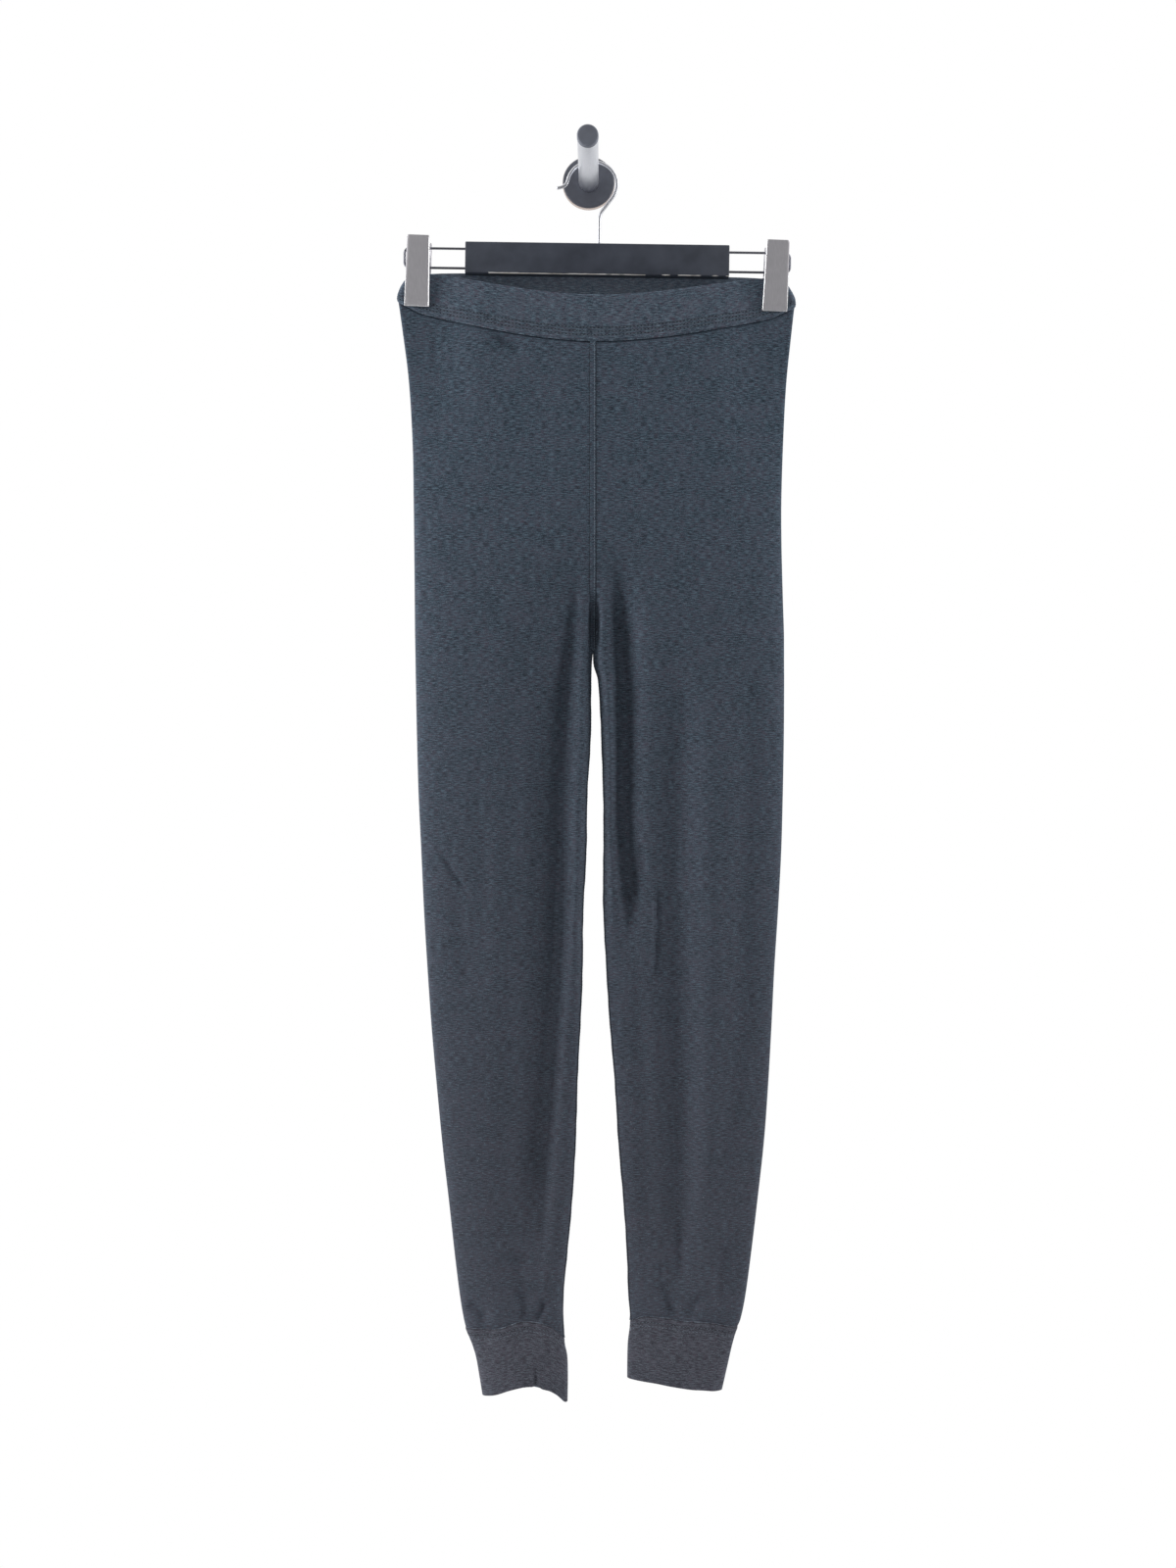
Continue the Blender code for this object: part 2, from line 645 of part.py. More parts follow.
def add_prism(shape, profile, low_x, high_x):
    """Adds a solid to the mesh: a profile of Y and Z points, extruded along X and drawn in towards its top."""
    ends = []
    for x in (low_x, high_x):
        ends.append([shape.verts.new(Vector((x * clip_taper(z), y, z)) * MM) for y, z in profile])
    count = len(profile)
    shape.faces.new(ends[0])
    shape.faces.new(ends[1][::-1])
    for i in range(count):
        j = (i + 1) % count
        shape.faces.new((ends[0][i], ends[1][i], ends[1][j], ends[0][j]))


def clip_taper(z):
    return mix(1.0, CLIP_TOP_WIDTH / CLIP_WIDTH, (z - CLIP_TOP + CLIP_HEIGHT) / CLIP_HEIGHT)


def make_clip_plate(name, clip, ahead):
    """A pressed plate with a lip at its foot and a flange down each side to the spring's pin."""
    bottom = CLIP_TOP - CLIP_HEIGHT
    lip = HOLD_HALF + BAND_PROUD + SEAM_GAP
    lip_top = bottom + 5.0
    foot, head = lip + 2.0, lip + 2.0 + CLIP_SPREAD

    def out(z):
        return mix(foot, head, (z - lip_top) / (CLIP_TOP - lip_top))

    sheet = CLIP_SHEET
    profile = [
        (lip, bottom),
        (lip + sheet, bottom),
        (out(lip_top) + sheet, lip_top),
        (out(CLIP_TOP) + sheet, CLIP_TOP),
        (out(CLIP_TOP), CLIP_TOP),
        (out(lip_top), lip_top),
    ]
    flange_low, flange_high = -11.0, 12.5
    flange = [
        (out(flange_low) + sheet / 2, flange_low),
        (out(flange_high) + sheet / 2, flange_high),
        (out(5.0) - CLIP_FLANGE, 5.0),
        (PIN_RADIUS + SEAM_GAP, 3.0),
        (PIN_RADIUS + SEAM_GAP, -3.0),
        (out(-5.0) - CLIP_FLANGE + 1.5, -5.5),
    ]
    half = CLIP_WIDTH / 2
    parts = []
    for label, outline, low_x, high_x in (
        ("", profile, -half, half),
        ("_flange_a", flange, -half, -half + sheet),
        ("_flange_b", flange, half - sheet, half),
    ):
        shape = bmesh.new()
        add_prism(shape, [(ahead * y, z) for y, z in outline], low_x, high_x)
        bmesh.ops.recalc_face_normals(shape, faces=shape.faces)
        mesh = bpy.data.meshes.new(name + label)
        shape.to_mesh(mesh)
        shape.free()
        parts.append(add_object(name + label, mesh, "satin_nickel", clip))
    plate = parts[0]
    for flange_part in parts[1:]:
        flange_part.hide_render = True
        flange_part.display_type = "WIRE"
        union = plate.modifiers.new("flange", "BOOLEAN")
        union.operation = "UNION"
        union.object = flange_part


def make_spring(name, clip):
    """The clip's coiled spring as one plain drum, with the pin through it."""
    drum = round_bar(name, SPRING_RADIUS, SPRING_LENGTH, "chrome_wire", clip, 24, "X")
    pin_length = CLIP_WIDTH * clip_taper(0.0) + 2 * PIN_OVERHANG
    pin = round_bar(name + "_pin", PIN_RADIUS, pin_length, "chrome_wire", clip, 12, "X")
    pin.hide_render = True
    pin.display_type = "WIRE"
    union = drum.modifiers.new("pin", "BOOLEAN")
    union.operation = "UNION"
    union.object = pin


def make_clip(leg, hanger):
    side = -1.0 if leg == "right" else 1.0
    clip = bpy.data.objects.new(f"clip_{leg}", None)
    bpy.context.scene.collection.objects.link(clip)
    clip.parent = hanger
    clip.location = (side * CLIP_OFFSET[leg] * MM, 0.0, 0.0)
    clip.rotation_euler = (0.0, CLIP_TURN[leg], 0.0)
    make_clip_plate(f"clip_{leg}_front", clip, -1.0)
    make_clip_plate(f"clip_{leg}_back", clip, 1.0)
    make_spring(f"clip_{leg}_spring", clip)


def make_hanger():
    hanger = bpy.data.objects.new("hanger", None)
    bpy.context.scene.collection.objects.link(hanger)
    hanger.location = Vector((BAR_CENTRE_X, HANG_PLANE, BAR_CENTRE_Z)) * MM
    hanger.rotation_euler = (0.0, TILT, 0.0)
    make_bar(hanger)
    make_hook(hanger)
    for leg in ("right", "left"):
        make_rail(leg, hanger)
        make_clip(leg, hanger)


# --- the wall hook ---


def turned_bar(name, stations, look, sides=32):
    """A round solid along -Y: stations give Y, its radius, and how far out along the rod's slope it is."""
    points = []
    for y, radius, share in stations:
        for i in range(sides):
            angle = 2 * math.pi * i / sides
            x = ROD_DRIFT * share + radius * math.cos(angle)
            points.append(Vector((x, y, ROD_RISE * share + radius * math.sin(angle))) * MM)
    faces = [tuple(range(sides)), tuple(reversed(range(len(points) - sides, len(points))))]
    for row in range(len(stations) - 1):
        for i in range(sides):
            j = (i + 1) % sides
            faces.append((row * sides + i, (row + 1) * sides + i, (row + 1) * sides + j, row * sides + j))
    made = add_mesh(name, points, faces, look)
    point_outwards(made)


def make_wall_hook():
    plate = ((0.0, PLATE_RADIUS), (-PLATE_THICKNESS + 1.5, PLATE_RADIUS), (-PLATE_THICKNESS, PLATE_RADIUS - 1.5))
    turned_bar("wall_plate", [(y, radius, 0.0) for y, radius in plate], "black_plastic", 48)
    front = -PLATE_THICKNESS - SEAM_GAP
    rod_end = front - ROD_REACH
    turned_bar("wall_rod", [(front, ROD_RADIUS, 0.0), (rod_end, ROD_RADIUS, 1.0)], "chrome_wire")
    cap = ((0.0, CAP_RADIUS), (-CAP_THICKNESS + 1.2, CAP_RADIUS), (-CAP_THICKNESS, CAP_RADIUS - 1.2))
    stations = []
    for y, radius in cap:
        y += rod_end - SEAM_GAP
        stations.append((y, radius, (front - y) / ROD_REACH))
    turned_bar("wall_cap", stations, "black_plastic")


def clear_scene():
    for leftover in list(bpy.data.objects):
        bpy.data.objects.remove(leftover)


def main():
    clear_scene()
    for leg in ("right", "left"):
        make_leg(leg)
        make_cuff(leg)
    make_waistband()
    make_hanger()
    make_wall_hook()


main()
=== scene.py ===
import math

import bmesh
import bpy
import numpy as np
from mathutils import Matrix, Vector


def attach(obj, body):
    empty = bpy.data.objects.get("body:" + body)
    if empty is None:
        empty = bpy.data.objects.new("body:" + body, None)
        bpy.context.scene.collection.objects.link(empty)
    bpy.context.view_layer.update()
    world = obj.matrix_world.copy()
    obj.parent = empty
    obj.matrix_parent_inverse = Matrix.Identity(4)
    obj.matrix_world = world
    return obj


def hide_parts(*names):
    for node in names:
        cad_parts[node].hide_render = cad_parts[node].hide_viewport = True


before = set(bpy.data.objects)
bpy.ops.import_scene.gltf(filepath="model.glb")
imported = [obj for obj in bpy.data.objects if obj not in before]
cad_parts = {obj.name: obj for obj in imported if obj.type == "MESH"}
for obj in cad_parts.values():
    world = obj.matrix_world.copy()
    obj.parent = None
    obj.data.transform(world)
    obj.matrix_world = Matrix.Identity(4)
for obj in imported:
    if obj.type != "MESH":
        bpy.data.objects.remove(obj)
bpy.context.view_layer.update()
print("frame loaded:", len(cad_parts), "nodes")
mm = 0.001
# The wearer's right leg lies at lower X; the front faces lower Y.
sideOf = {"right": -1.0, "left": 1.0}
facing = {"front": -1.0, "back": 1.0}

# Where things hang: the centre seam, the plane of the hanger, and the band's top edge in the clips, in mm.
hang = {"seamX": 3.6, "planeY": -31.0, "waistZ": -87.8, "tilt": math.radians(0.8), "barX": 7.4, "barZ": -74.4}


def linear(hexColour):
    # sRGB hex to the linear colour that shaders take
    parts = [int(hexColour[i : i + 2], 16) / 255 for i in (1, 3, 5)]
    return tuple(p / 12.92 if p <= 0.04045 else ((p + 0.055) / 1.055) ** 2.4 for p in parts) + (1.0,)


def grey(level):
    return (level, level, level, 1.0)


def mix(low, high, share):
    return low + (high - low) * share


def smooth(start, end, value):
    share = np.clip((value - start) / (end - start), 0.0, 1.0)
    return share * share * (3.0 - 2.0 * share)


def bell(away, half):
    return np.exp(-((away / half) ** 2))


def unit(vectors):
    return vectors / np.maximum(1e-9, np.linalg.norm(vectors, axis=-1, keepdims=True))


def curveThrough(rows, column, value):
    # one column of a table on a smooth curve through its rows, the first column being the place
    rows = np.asarray(rows, float)
    place, height = rows[:, 0], rows[:, column]
    slope = np.empty(len(place))
    slope[1:-1] = (height[2:] - height[:-2]) / (place[2:] - place[:-2])
    slope[0] = (height[1] - height[0]) / (place[1] - place[0])
    slope[-1] = (height[-1] - height[-2]) / (place[-1] - place[-2])
    value = np.clip(value, place[0], place[-1])
    i = np.clip(np.searchsorted(place, value) - 1, 0, len(place) - 2)
    length = place[i + 1] - place[i]
    s = (value - place[i]) / length
    rise = (1 + 2 * s) * (1 - s) ** 2 * height[i] + s * (1 - s) ** 2 * length * slope[i]
    return rise + s * s * (3 - 2 * s) * height[i + 1] + s * s * (s - 1) * length * slope[i + 1]


def setInputs(node, inputs):
    # inputs by name or number: a value, a socket to link from, or a node whose first live output is linked
    for key, value in inputs.items():
        if isinstance(value, bpy.types.Node):
            value = next(socket for socket in value.outputs if socket.enabled)
        if isinstance(value, bpy.types.NodeSocket):
            node.id_data.links.new(value, node.inputs[key])
        else:
            node.inputs[key].default_value = value


def addNode(tree, kind, inputs=None, stops=(), **settings):
    # a node with its settings, its inputs and, on a colour ramp, its stops
    node = tree.nodes.new(kind)
    for name, value in settings.items():
        setattr(node, name, value)
    setInputs(node, inputs or {})
    if stops:
        node.color_ramp.elements.remove(node.color_ramp.elements[-1])
        node.color_ramp.elements[0].position, node.color_ramp.elements[0].color = stops[0]
        for position, colour in stops[1:]:
            node.color_ramp.elements.new(position).color = colour
    return node


def newMaterial(name, finish):
    material = bpy.data.materials.new(name)
    material.use_nodes = True
    shader = material.node_tree.nodes["Principled BSDF"]
    setInputs(shader, finish)
    return material, material.node_tree, shader


def pattern(tree, place, scale, detail=3.0, shift=(0.0, 0.0, 0.0), roughness=0.5, dimensions="3D"):
    # a noise whose cells are stretched to the sizes of one finish; the scale is in cells a metre
    cells = addNode(tree, "ShaderNodeMapping", {"Vector": place, "Scale": scale, "Location": shift})
    sizes = {"Vector": cells, "Scale": 1.0, "Detail": detail, "Roughness": roughness}
    return addNode(tree, "ShaderNodeTexNoise", sizes, noise_dimensions=dimensions)


# Cotton jersey from heathered yarn: dark fibres mixed with slate and a few brown ones give short level
# streaks. A streak is drawn about 5.6 mm long and 0.8 mm high, coarser than the yarn's 0.6 mm, so it shows.
jersey = {
    # a cell's size across and down the cloth in mm, its detail, its place in the noise and its roughness
    "patterns": {
        "streaks": (5.6, 0.78, 3.0, 3.1, 0.65),
        "specks": (0.806, 0.62, 2.0, 11.7, 0.7),
        "patches": (30.0, 13.5, 3.0, 23.3, 0.6),
        "browns": (4.48, 0.702, 3.0, 37.9, 0.7),
        "lint": (2.4, 1.5, 1.0, 51.3, 0.6),
    },
    "shares": {"streaks": 0.55, "specks": 0.33, "patches": 0.07},
    "middle": 0.475,
    "reach": 0.112,
    "brownGather": 0.28,
    "ankleFrom": -0.22,
    "ankleTo": -0.9,
    "ankleGreyShadeShare": 0.45,
    "ankleGreyShade": "#4c484f",
    "lintGrey": "#9aa3ae",
    "rowShadeReach": (0.35, 0.9),
    "wale": 1.25,
    "course": 1.0,
    "yarnRelief": 1.1,
    "knitHeight": 0.09,
}
jerseyFinish = {
    "Roughness": 0.95,
    "Specular IOR Level": 0.22,
    "Sheen Weight": 0.08,
    "Sheen Roughness": 0.4,
    "Sheen Tint": linear("#c9d6e8"),
}


def jerseyMaterial(name, dark, middle, light, warm, contrast=1.0, rows=(), rowShade=0.4):
    material, tree, shader = newMaterial(name, jerseyFinish)
    cloth = addNode(tree, "ShaderNodeUVMap", uv_map="cloth")
    fibre = {}
    for part, (across, down, detail, start, roughness) in jersey["patterns"].items():
        scale, shift = (1000 / across, 1000 / down, 1.0), (start, start * 0.7, 0.0)
        fibre[part] = pattern(tree, cloth, scale, detail, shift, roughness, "2D")
    blend = 0.0
    for part, share in jersey["shares"].items():
        blend = {0: fibre[part], 1: share, 2: blend}
        blend = addNode(tree, "ShaderNodeMath", blend, operation="MULTIPLY_ADD")
    centre, reach = jersey["middle"], jersey["reach"] / contrast
    stops = [(centre - reach, linear(dark)), (centre, linear(middle)), (centre + reach, linear(light))]
    colour = addNode(tree, "ShaderNodeValToRGB", {0: blend}, stops)
    # brown fibres gather in some stretches of the yarn and leave others slate
    gathered = {0: fibre["patches"], 1: jersey["brownGather"], 2: fibre["browns"]}
    gathered = addNode(tree, "ShaderNodeMath", gathered, operation="MULTIPLY_ADD")
    brown = addNode(tree, "ShaderNodeValToRGB", {0: gathered}, [(0.6, grey(0.0)), (0.78, grey(0.7))])
    # the heather turns a little greyer towards the ankle, and the lower legs are painted darker there as
    # painted shade for the light falling off down the legs
    place = addNode(tree, "ShaderNodeTexCoord").outputs["Object"]
    height = addNode(tree, "ShaderNodeSeparateXYZ", {0: place}).outputs["Z"]
    drift = {0: height, 1: jersey["ankleFrom"], 2: jersey["ankleTo"], 4: jersey["ankleGreyShadeShare"]}
    drift = addNode(tree, "ShaderNodeMapRange", drift)
    # a rare pale fibre end works its way out of the yarn
    lint = addNode(tree, "ShaderNodeValToRGB", {0: fibre["lint"]}, [(0.785, grey(0.0)), (0.84, grey(0.5))])
    for share, tint in ((brown, warm), (drift, jersey["ankleGreyShade"]), (lint, jersey["lintGrey"])):
        colour = addNode(tree, "ShaderNodeMix", {0: share, 6: colour, 7: linear(tint)}, data_type="RGBA")
    # the yarn is drawn in along each row of topstitching, and the cloth there is painted darker for the shade
    # in that shallow groove
    up = addNode(tree, "ShaderNodeSeparateXYZ", {0: cloth}).outputs["Y"]
    tight, loose = (away * mm for away in jersey["rowShadeReach"])
    for row in rows:
        away = addNode(tree, "ShaderNodeMath", {0: up, 1: -row * mm}, operation="ADD")
        away = addNode(tree, "ShaderNodeMath", {0: away}, operation="ABSOLUTE")
        shade = addNode(tree, "ShaderNodeMapRange", {0: away, 1: tight, 2: loose, 3: rowShade, 4: 1.0})
        colour = addNode(tree, "ShaderNodeVectorMath", {0: colour, 3: shade}, operation="SCALE")
    # the knit's upright wales and the uneven yarn, as relief
    scale = (1000 / jersey["wale"], 1000 / jersey["course"], 1.0)
    wales = addNode(tree, "ShaderNodeMapping", {"Vector": cloth, "Scale": scale})
    loops = {"Vector": wales, "Scale": 1.0, "Randomness": 0.35}
    loops = addNode(tree, "ShaderNodeTexVoronoi", loops, voronoi_dimensions="2D")
    relief = {0: fibre["streaks"], 1: jersey["yarnRelief"], 2: loops}
    relief = addNode(tree, "ShaderNodeMath", relief, operation="MULTIPLY_ADD")
    relief = {"Height": relief, "Strength": 0.55, "Distance": jersey["knitHeight"] * mm}
    setInputs(shader, {"Base Color": colour, "Normal": addNode(tree, "ShaderNodeBump", relief)})
    return material


bandStitches = (4.4, 7.4, 10.5)  # rows of topstitching, in mm above the band's lower edge
heatherJersey = jerseyMaterial("heather jersey", "#222931", "#41505d", "#657a8a", "#504b59")
heatherBand = jerseyMaterial(
    "heather jersey, doubled over elastic", "#2a323c", "#4b5a68", "#718695", "#5a505e", 1.05, bandStitches
)
# the cuff's cloth is painted darker along its seam line and its stitched row: painted shade in their grooves
heatherCuff = jerseyMaterial(
    "heather jersey, doubled cuff", "#292f38", "#49535e", "#76808c", "#585260", 2.0, (-0.3, -4.6), 0.62
)
# the wrong side, paler than the right side and painted lighter still, as painted light inside the band under
# the bar
heatherInsidePaintedLighter = jerseyMaterial("heather jersey, wrong side, painted lighter", "#58616f", "#7d8e9f", "#a4b4c6", "#7c7986", 0.9)

# Spun polyester sewing thread, smoother than the cloth and painted a little lighter for the highlight along
# its stitches, and a dark thread that paints shadow lines.
spun = {"Base Color": linear("#6d7a88"), "Roughness": 0.6, "Sheen Weight": 0.2}
sewingThread = newMaterial("spun sewing thread", spun)[0]
# a dark thread laid to paint the shadow lines where the centre seam's strip meets the cloth
shadowLineThread = newMaterial("dark thread, painted seam-edge shadow", {"Base Color": linear("#1d222a"), "Roughness": 0.8})[0]

# Satin black lacquer on a beech bar, rubbed down to the wood in a ragged line along its lower front edge.
# The line's height and unevenness, the depth of the front and the rubbing's start are in mm from the centre.
wear = {"line": -13.5, "uneven": 1.0, "front": -5.0, "begin": -94.0}


def lacqueredBeech():
    finish = {"Roughness": 0.46, "Specular IOR Level": 0.4, "Coat Weight": 0.08, "Coat Roughness": 0.4}
    material, tree, shader = newMaterial("black lacquered beech", finish)
    place = addNode(tree, "ShaderNodeTexCoord").outputs["Object"]
    centre = (-hang["barX"] * mm, -hang["planeY"] * mm, -hang["barZ"] * mm)
    moved = addNode(tree, "ShaderNodeMapping", {"Vector": place, "Location": centre})
    level = addNode(tree, "ShaderNodeMapping", {"Vector": moved, "Rotation": (0.0, -hang["tilt"], 0.0)})
    x, y, z = addNode(tree, "ShaderNodeSeparateXYZ", {0: level}).outputs
    mottle = addNode(tree, "ShaderNodeTexNoise", {"Vector": level, "Scale": 60.0, "Detail": 4.0})
    lacquer = [(0.3, linear("#343944")), (0.7, linear("#434854"))]
    lacquer = addNode(tree, "ShaderNodeValToRGB", {0: mottle}, lacquer)
    chips = pattern(tree, level, (70.0, 200.0, 900.0))
    runs = pattern(tree, level, (48.0, 0.0, 0.0), 1.0)
    fibres = pattern(tree, level, (120.0, 1500.0, 1500.0))
    edge = {0: chips, 1: wear["uneven"] * mm, 2: wear["line"] * mm}
    edge = addNode(tree, "ShaderNodeMath", edge, operation="MULTIPLY_ADD")
    low = addNode(tree, "ShaderNodeMath", {0: z, 1: edge}, operation="LESS_THAN")
    ahead = addNode(tree, "ShaderNodeMath", {0: y, 1: wear["front"] * mm}, operation="LESS_THAN")
    begun = addNode(tree, "ShaderNodeMath", {0: x, 1: wear["begin"] * mm}, operation="GREATER_THAN")
    # the rubbing is nearly unbroken along the middle and thins to dashes at one side
    denser = addNode(tree, "ShaderNodeMapRange", {0: x, 1: 0.0, 2: 0.02, 3: 0.14, 4: -0.02})
    often = addNode(tree, "ShaderNodeMath", {0: runs, 1: denser}, operation="ADD")
    present = addNode(tree, "ShaderNodeValToRGB", {0: often}, [(0.46, grey(0.0)), (0.5, grey(1.0))])
    rubbed = low
    for part in (ahead, begun, present):
        rubbed = addNode(tree, "ShaderNodeMath", {0: rubbed, 1: part}, operation="MULTIPLY")
    wood = [(0.35, linear("#dad2c6")), (0.6, linear("#fbf9f5"))]
    wood = addNode(tree, "ShaderNodeValToRGB", {0: chips}, wood)
    colour = addNode(tree, "ShaderNodeMix", {0: rubbed, 6: lacquer, 7: wood}, data_type="RGBA")
    gloss = addNode(tree, "ShaderNodeMapRange", {0: mottle, 3: 0.4, 4: 0.56})
    grain = addNode(tree, "ShaderNodeBump", {"Height": fibres, "Strength": 0.25, "Distance": 0.0001})
    setInputs(shader, {"Base Color": colour, "Roughness": gloss, "Normal": grain})
    return material


def platedMetal(name, dark, light, roughness, brushMm, spread, alongX=True):
    # plated steel: fine brushed lines one way, so the gloss varies across them
    material, tree, shader = newMaterial(name, {"Metallic": 1.0, "Roughness": roughness})
    fine, coarse = 1000 / brushMm, 1000 / (brushMm * 24)
    place = addNode(tree, "ShaderNodeTexCoord").outputs["Object"]
    lines = pattern(tree, place, (coarse, fine, fine) if alongX else (fine, fine, coarse))
    colour = addNode(tree, "ShaderNodeValToRGB", {0: lines}, [(0.3, linear(dark)), (0.7, linear(light))])
    gloss = addNode(tree, "ShaderNodeMapRange", {0: lines, 3: roughness - spread, 4: roughness + spread})
    relief = addNode(tree, "ShaderNodeBump", {"Height": lines, "Strength": 0.3, "Distance": 0.00004})
    setInputs(shader, {"Base Color": colour, "Roughness": gloss, "Normal": relief})
    return material


def mouldedPlastic(name, dark, light):
    # fine-textured acetal: an even satin with a slight cloudiness
    material, tree, shader = newMaterial(name, {"Roughness": 0.5})
    place = addNode(tree, "ShaderNodeTexCoord").outputs["Object"]
    grit = addNode(tree, "ShaderNodeTexNoise", {"Vector": place, "Scale": 1400.0, "Detail": 2.0})
    cloud = addNode(tree, "ShaderNodeTexNoise", {"Vector": place, "Scale": 70.0, "Detail": 3.0})
    colour = addNode(tree, "ShaderNodeValToRGB", {0: cloud}, [(0.35, linear(dark)), (0.7, linear(light))])
    relief = addNode(tree, "ShaderNodeBump", {"Height": grit, "Strength": 0.3, "Distance": 0.00005})
    setInputs(shader, {"Base Color": colour, "Normal": relief})
    return material


blackLacquer = lacqueredBeech()
satinNickel = platedMetal("brushed nickel plate", "#e3e1e6", "#eceaef", 0.45, 0.9, 0.03, alongX=False)
brightNickel = platedMetal("bright nickel edge", "#f6f6f8", "#fdfdfe", 0.38, 0.9, 0.03)
chromeWire = platedMetal("chromed wire", "#ececf0", "#fafafc", 0.3, 40.0, 0.02)
hookWire = platedMetal("polished nickel wire", "#c2c3c8", "#d2d3d8", 0.42, 40.0, 0.02)
# the rails' wire is a darker tone of the hanger's plating
railWire = platedMetal("darker plated steel wire", "#6c6d74", "#7c7d84", 0.24, 40.0, 0.03)
chromeRod = platedMetal("satin chromed tube", "#dfe2ea", "#f1f3f9", 0.3, 0.8, 0.05, alongX=False)
steelRing = platedMetal("satin steel ring", "#c9b9b1", "#d6c8c1", 0.42, 0.8, 0.03)
blackPlastic = mouldedPlastic("fine-textured black plastic", "#535660", "#60646f")
# the rod's cap is black plastic like the disc, painted lighter as painted light on its face
capPlasticPaintedLighter = mouldedPlastic("fine-textured black plastic, painted lighter", "#6c707b", "#7a7f8b")
print("materials made")

legs = {
    # drop below the band's top edge, side fold and inner edge from the centre seam, depth in front and behind
    "right": (
        (38, 168.6, -168.6, 12.0, 15.0),
        (60, 165.3, -165.3, 13.0, 16.0),
        (100, 159.7, -159.7, 14.5, 17.5),
        (150, 156.4, -150.0, 15.5, 18.5),
        (200, 155.4, -112.0, 16.0, 19.0),
        (235, 155.0, -62.0, 16.0, 19.0),
        (260, 154.7, -27.0, 16.0, 19.0),
        (285, 154.5, -10.0, 16.0, 18.5),
        (310, 154.3, -3.2, 16.0, 18.0),
        (325, 154.0, 0.15, 16.0, 17.0),
        (350, 153.6, 1.6, 16.0, 16.5),
        (400, 152.6, 2.2, 16.0, 16.0),
        (450, 151.2, 4.9, 15.5, 15.5),
        (500, 148.8, 6.0, 15.0, 15.0),
        (550, 146.5, 8.4, 14.5, 14.5),
        (600, 143.5, 9.2, 14.0, 14.0),
        (650, 140.0, 11.0, 13.5, 14.0),
        (700, 135.6, 13.6, 13.5, 14.0),
        (760, 129.8, 15.5, 13.5, 14.0),
        (800, 125.1, 18.0, 13.5, 14.0),
        (850, 119.6, 22.8, 13.5, 14.0),
        (885, 115.2, 25.7, 13.5, 14.0),
        (905, 111.8, 25.7, 13.5, 14.0),
        (915, 109.0, 25.2, 13.0, 13.5),
        (925, 104.6, 25.0, 13.0, 13.5),
        (937, 100.8, 22.8, 13.0, 13.5),
        (955, 97.6, 22.3, 13.0, 13.5),
        (976, 94.2, 22.6, 13.0, 13.5),
    ),
    "left": (
        (38, 174.8, -174.8, 12.0, 15.0),
        (60, 172.2, -172.2, 13.0, 16.0),
        (100, 167.8, -167.8, 14.5, 17.5),
        (150, 165.0, -158.0, 15.5, 18.5),
        (200, 163.5, -118.0, 16.0, 19.0),
        (235, 163.7, -65.0, 16.0, 19.0),
        (260, 164.3, -28.0, 16.0, 19.0),
        (285, 165.0, -10.0, 16.0, 18.5),
        (310, 165.8, -3.2, 16.0, 18.0),
        (325, 165.9, 0.15, 16.0, 17.0),
        (337, 165.9, 1.0, 16.0, 17.0),
        (350, 166.0, 4.5, 16.0, 16.5),
        (400, 165.7, 7.6, 16.0, 16.0),
        (450, 164.8, 9.2, 15.5, 15.5),
        (500, 163.4, 9.4, 15.0, 15.0),
        (550, 160.7, 9.4, 14.5, 14.5),
        (600, 157.5, 11.8, 14.0, 14.0),
        (650, 155.0, 15.2, 13.0, 13.5),
        (700, 152.2, 19.2, 12.5, 13.0),
        (750, 148.5, 22.5, 12.0, 12.5),
        (800, 143.0, 26.5, 12.0, 12.0),
        (850, 137.0, 30.0, 12.0, 12.0),
        (885, 132.2, 31.3, 12.0, 12.0),
        (905, 128.0, 32.8, 12.0, 12.0),
        (913, 124.6, 32.4, 11.5, 11.5),
        (925, 120.7, 31.0, 11.0, 11.0),
        (945, 116.1, 30.5, 11.0, 11.0),
        (976, 109.0, 30.5, 11.0, 11.0),
    ),
}
legForm = {
    "roundness": 2.0,
    "crotch": 325.0,
    "clipAt": {"right": 152.4, "left": 158.3},
    "clipHalf": 10.85,
    "holdHalf": 1.6,
    "holdFade": 45.0,
    "holdDrop": 190.0,
    "loose": 2.0,
    "tipRound": 3.5,
    "tipHold": 0.45,
    "seamGap": 0.15,
    "grooveStart": 270.0,
    "grooveFull": 306.0,
    "grooveFade": {"right": (331.0, 350.0), "left": (347.0, 374.0)},
    "grooveHalf": {"right": 3.3, "left": 5.6},
    "grooveFloor": {"front": -3.4, "back": 6.4},
    "crotchFloor": 2.4,
    "crotchReach": 16.0,
    "foldFloor": {"front": -3.0, "back": 4.4},
    "foldEdge": 0.12,
    "wobblePhase": {"right": 0.7, "left": 2.9},
    "wall": 1.1,
}
cuffs = {
    # from the inner edge, 0, to the side fold, 1: drops of the seam in front and behind, and of the hem
    "right": (
        (0.00, 921.0, 921.0, 975.5, 975.5),
        (0.12, 910.0, 915.0, 967.5, 972.0),
        (0.30, 905.5, 911.5, 962.0, 968.0),
        (0.45, 905.5, 910.5, 960.0, 966.0),
        (0.65, 910.5, 910.5, 963.0, 966.0),
        (0.85, 911.5, 911.0, 968.0, 968.5),
        (1.00, 911.7, 911.7, 970.0, 970.0),
    ),
    "left": (
        (0.00, 905.8, 905.8, 955.0, 955.0),
        (0.12, 901.0, 903.0, 956.2, 957.0),
        (0.30, 902.0, 904.0, 958.0, 959.0),
        (0.45, 904.2, 905.0, 960.3, 960.0),
        (0.65, 905.5, 906.5, 963.0, 962.0),
        (0.85, 908.5, 908.5, 964.3, 963.8),
        (1.00, 911.4, 911.4, 965.5, 965.5),
    ),
}
